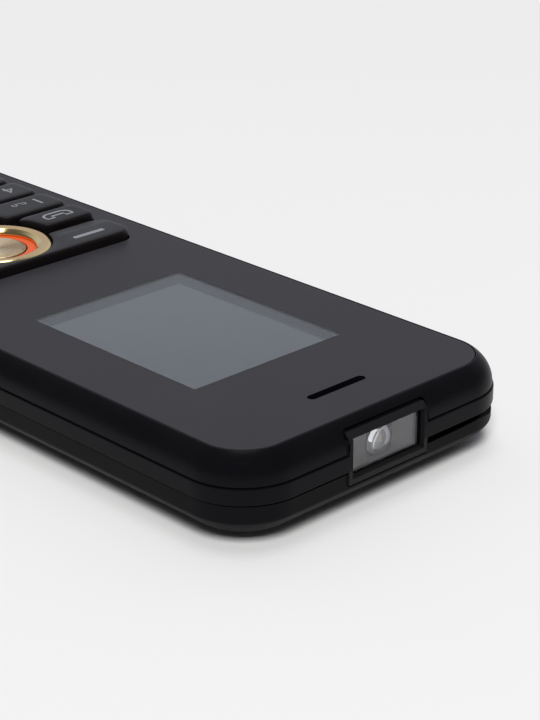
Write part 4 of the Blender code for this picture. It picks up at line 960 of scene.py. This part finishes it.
def inner_parts():
    glass = grained("display_face", (0.010, 0.014, 0.020), 0.07, 0.5, 0.10, 0.0004, 0.02)
    coat(glass, "display_glass")
    steel = metal("drawn_steel", (0.50, 0.51, 0.53), 0.28, (1.0, 6.0, 1.0))
    coat(steel, "display_frame", "sim_holder_1", "sim_holder_2", "sim_holder_3", "memory_card_holder",
         "usb_socket", "vibration_motor", "microphone")
    coat(metal("tinned_can", (0.62, 0.62, 0.60), 0.34, (5.0, 1.0, 1.0), 0.4), "shield_can")
    coat(metal("black_mesh", (0.03, 0.03, 0.032), 0.45, grain=0.2), "earpiece_grille")
    # Screw heads: spun steel with painted wedges of light and shade in its colour.
    screw = spun("screw_steel_painted_sheen", (0.34, 0.34, 0.35), (0.28, 0.28, 0.29), 0.3, 0.0)
    coat(screw, *[f"case_screw_{k}" for k in (1, 2, 3, 4)])
    moulded = grained("dark_moulding", (0.018, 0.018, 0.020), 0.5, 0.4, 0.15, 0.006)
    coat(moulded, "earpiece_receiver", "loudspeaker")
    rubber = grained("grey_silicone", (0.22, 0.22, 0.23), 0.6, 0.4, 0.2, 0.006, Subsurface_Weight=0.15)
    coat(rubber, "key_mat", "nav_cushion")
    coat(lined("dome_film", (0.45, 0.46, 0.47), (0.30, 0.31, 0.32), 0.35, 420.0, 0.05, 0.7), "dome_sheet")
    coat(lined("solder_mask", (0.012, 0.075, 0.030), (0.030, 0.140, 0.055), 0.38, 900.0, 0.06), "main_board")
    coat(lined("flex_film", (0.55, 0.22, 0.04), (0.72, 0.40, 0.12), 0.4, 1500.0, 0.08), "display_flex")
    coat(lined("antenna_gilding", (0.75, 0.52, 0.20), (0.60, 0.42, 0.18), 0.35, 700.0, 0.05, 1.0), "antenna")
    coat(metal("contact_gilding", (0.85, 0.62, 0.28), 0.22), "battery_connector")
    wrap = grained("battery_wrap", (0.085, 0.090, 0.098), 0.42, 0.45, 0.5, 0.012)
    coat(wrap, "battery")


# Studio

LOOK = (-0.6404, -0.6600, -0.3929)  # the way that the camera looks


def world():
    """A dim room with a soft pale glow where the top faces mirror it."""
    scene = bpy.context.scene
    scene.view_settings.view_transform = "Standard"
    room = bpy.data.worlds.new("studio")
    scene.world = room
    room.use_nodes = True
    tree = room.node_tree
    place = tree.nodes.new("ShaderNodeTexCoord")
    toward = tree.nodes.new("ShaderNodeVectorMath")
    toward.operation = "DOT_PRODUCT"
    toward.inputs[1].default_value = (LOOK[0], LOOK[1], -LOOK[2])
    ramp = tree.nodes.new("ShaderNodeValToRGB")
    ramp.color_ramp.interpolation = "EASE"
    stops = ramp.color_ramp.elements
    stops[0].position = 0.45
    stops[0].color = (0.10, 0.10, 0.108, 1.0)
    stops[1].position = 0.85
    stops[1].color = (0.51, 0.535, 0.59, 1.0)
    tree.links.new(place.outputs["Generated"], toward.inputs[0])
    tree.links.new(toward.outputs["Value"], ramp.inputs["Fac"])
    tree.links.new(ramp.outputs["Color"], tree.nodes["Background"].inputs["Color"])


def softbox(name, place, size, energy, colour, shine=True):
    """A square light aimed at the phone. Without shine it lights matt surfaces only."""
    data = bpy.data.lights.new(name, "AREA")
    data.shape = "SQUARE"
    data.size = size
    data.energy = energy
    data.color = colour
    light = bpy.data.objects.new(name, data)
    bpy.context.scene.collection.objects.link(light)
    light.location = place
    light.rotation_euler = Vector(place).to_track_quat("Z", "Y").to_euler()
    light.visible_glossy = shine


def floor():
    made, _ = shader_of("floor", (0.84, 0.84, 0.84), 0.9, level=0.0)
    outline = rectangle(9000, 9000, 100, steps=4)
    piece = build("floor", [prism(outline, -2.0, 0.0)], made, smooth=False)


def camera():
    data = bpy.data.cameras.new("camera")
    view = bpy.data.objects.new("camera", data)
    bpy.context.scene.collection.objects.link(view)
    data.lens = 102.2
    data.sensor_width = 36.0
    data.clip_start = 0.01
    place = (0.18034, 0.22928, 0.12390)
    right = Vector((-0.7177, 0.6964, 0.0)).normalized()
    look = Vector(LOOK).normalized()
    up = right.cross(look).normalized()
    turn = Matrix((right, up, -look)).transposed().to_4x4()
    view.matrix_world = Matrix.Translation(place) @ turn
    bpy.context.scene.camera = view


camera()
world()
softbox("softbox", (-0.30, -0.31, 6.0), 2.4, 66.0, (1.0, 0.99, 0.975))
softbox("fill", (2.45, 2.55, 4.2), 1.9, 272.0, (1.0, 0.99, 0.98), False)
floor()
front_housing()
front_panel()
window_lens()
mid_frame()
rear_cover()
headphone_jack()
torch_plate()
reflector_tray()
lamp()
number_keys()
soft_bar()
navigation_key()
inner_parts()
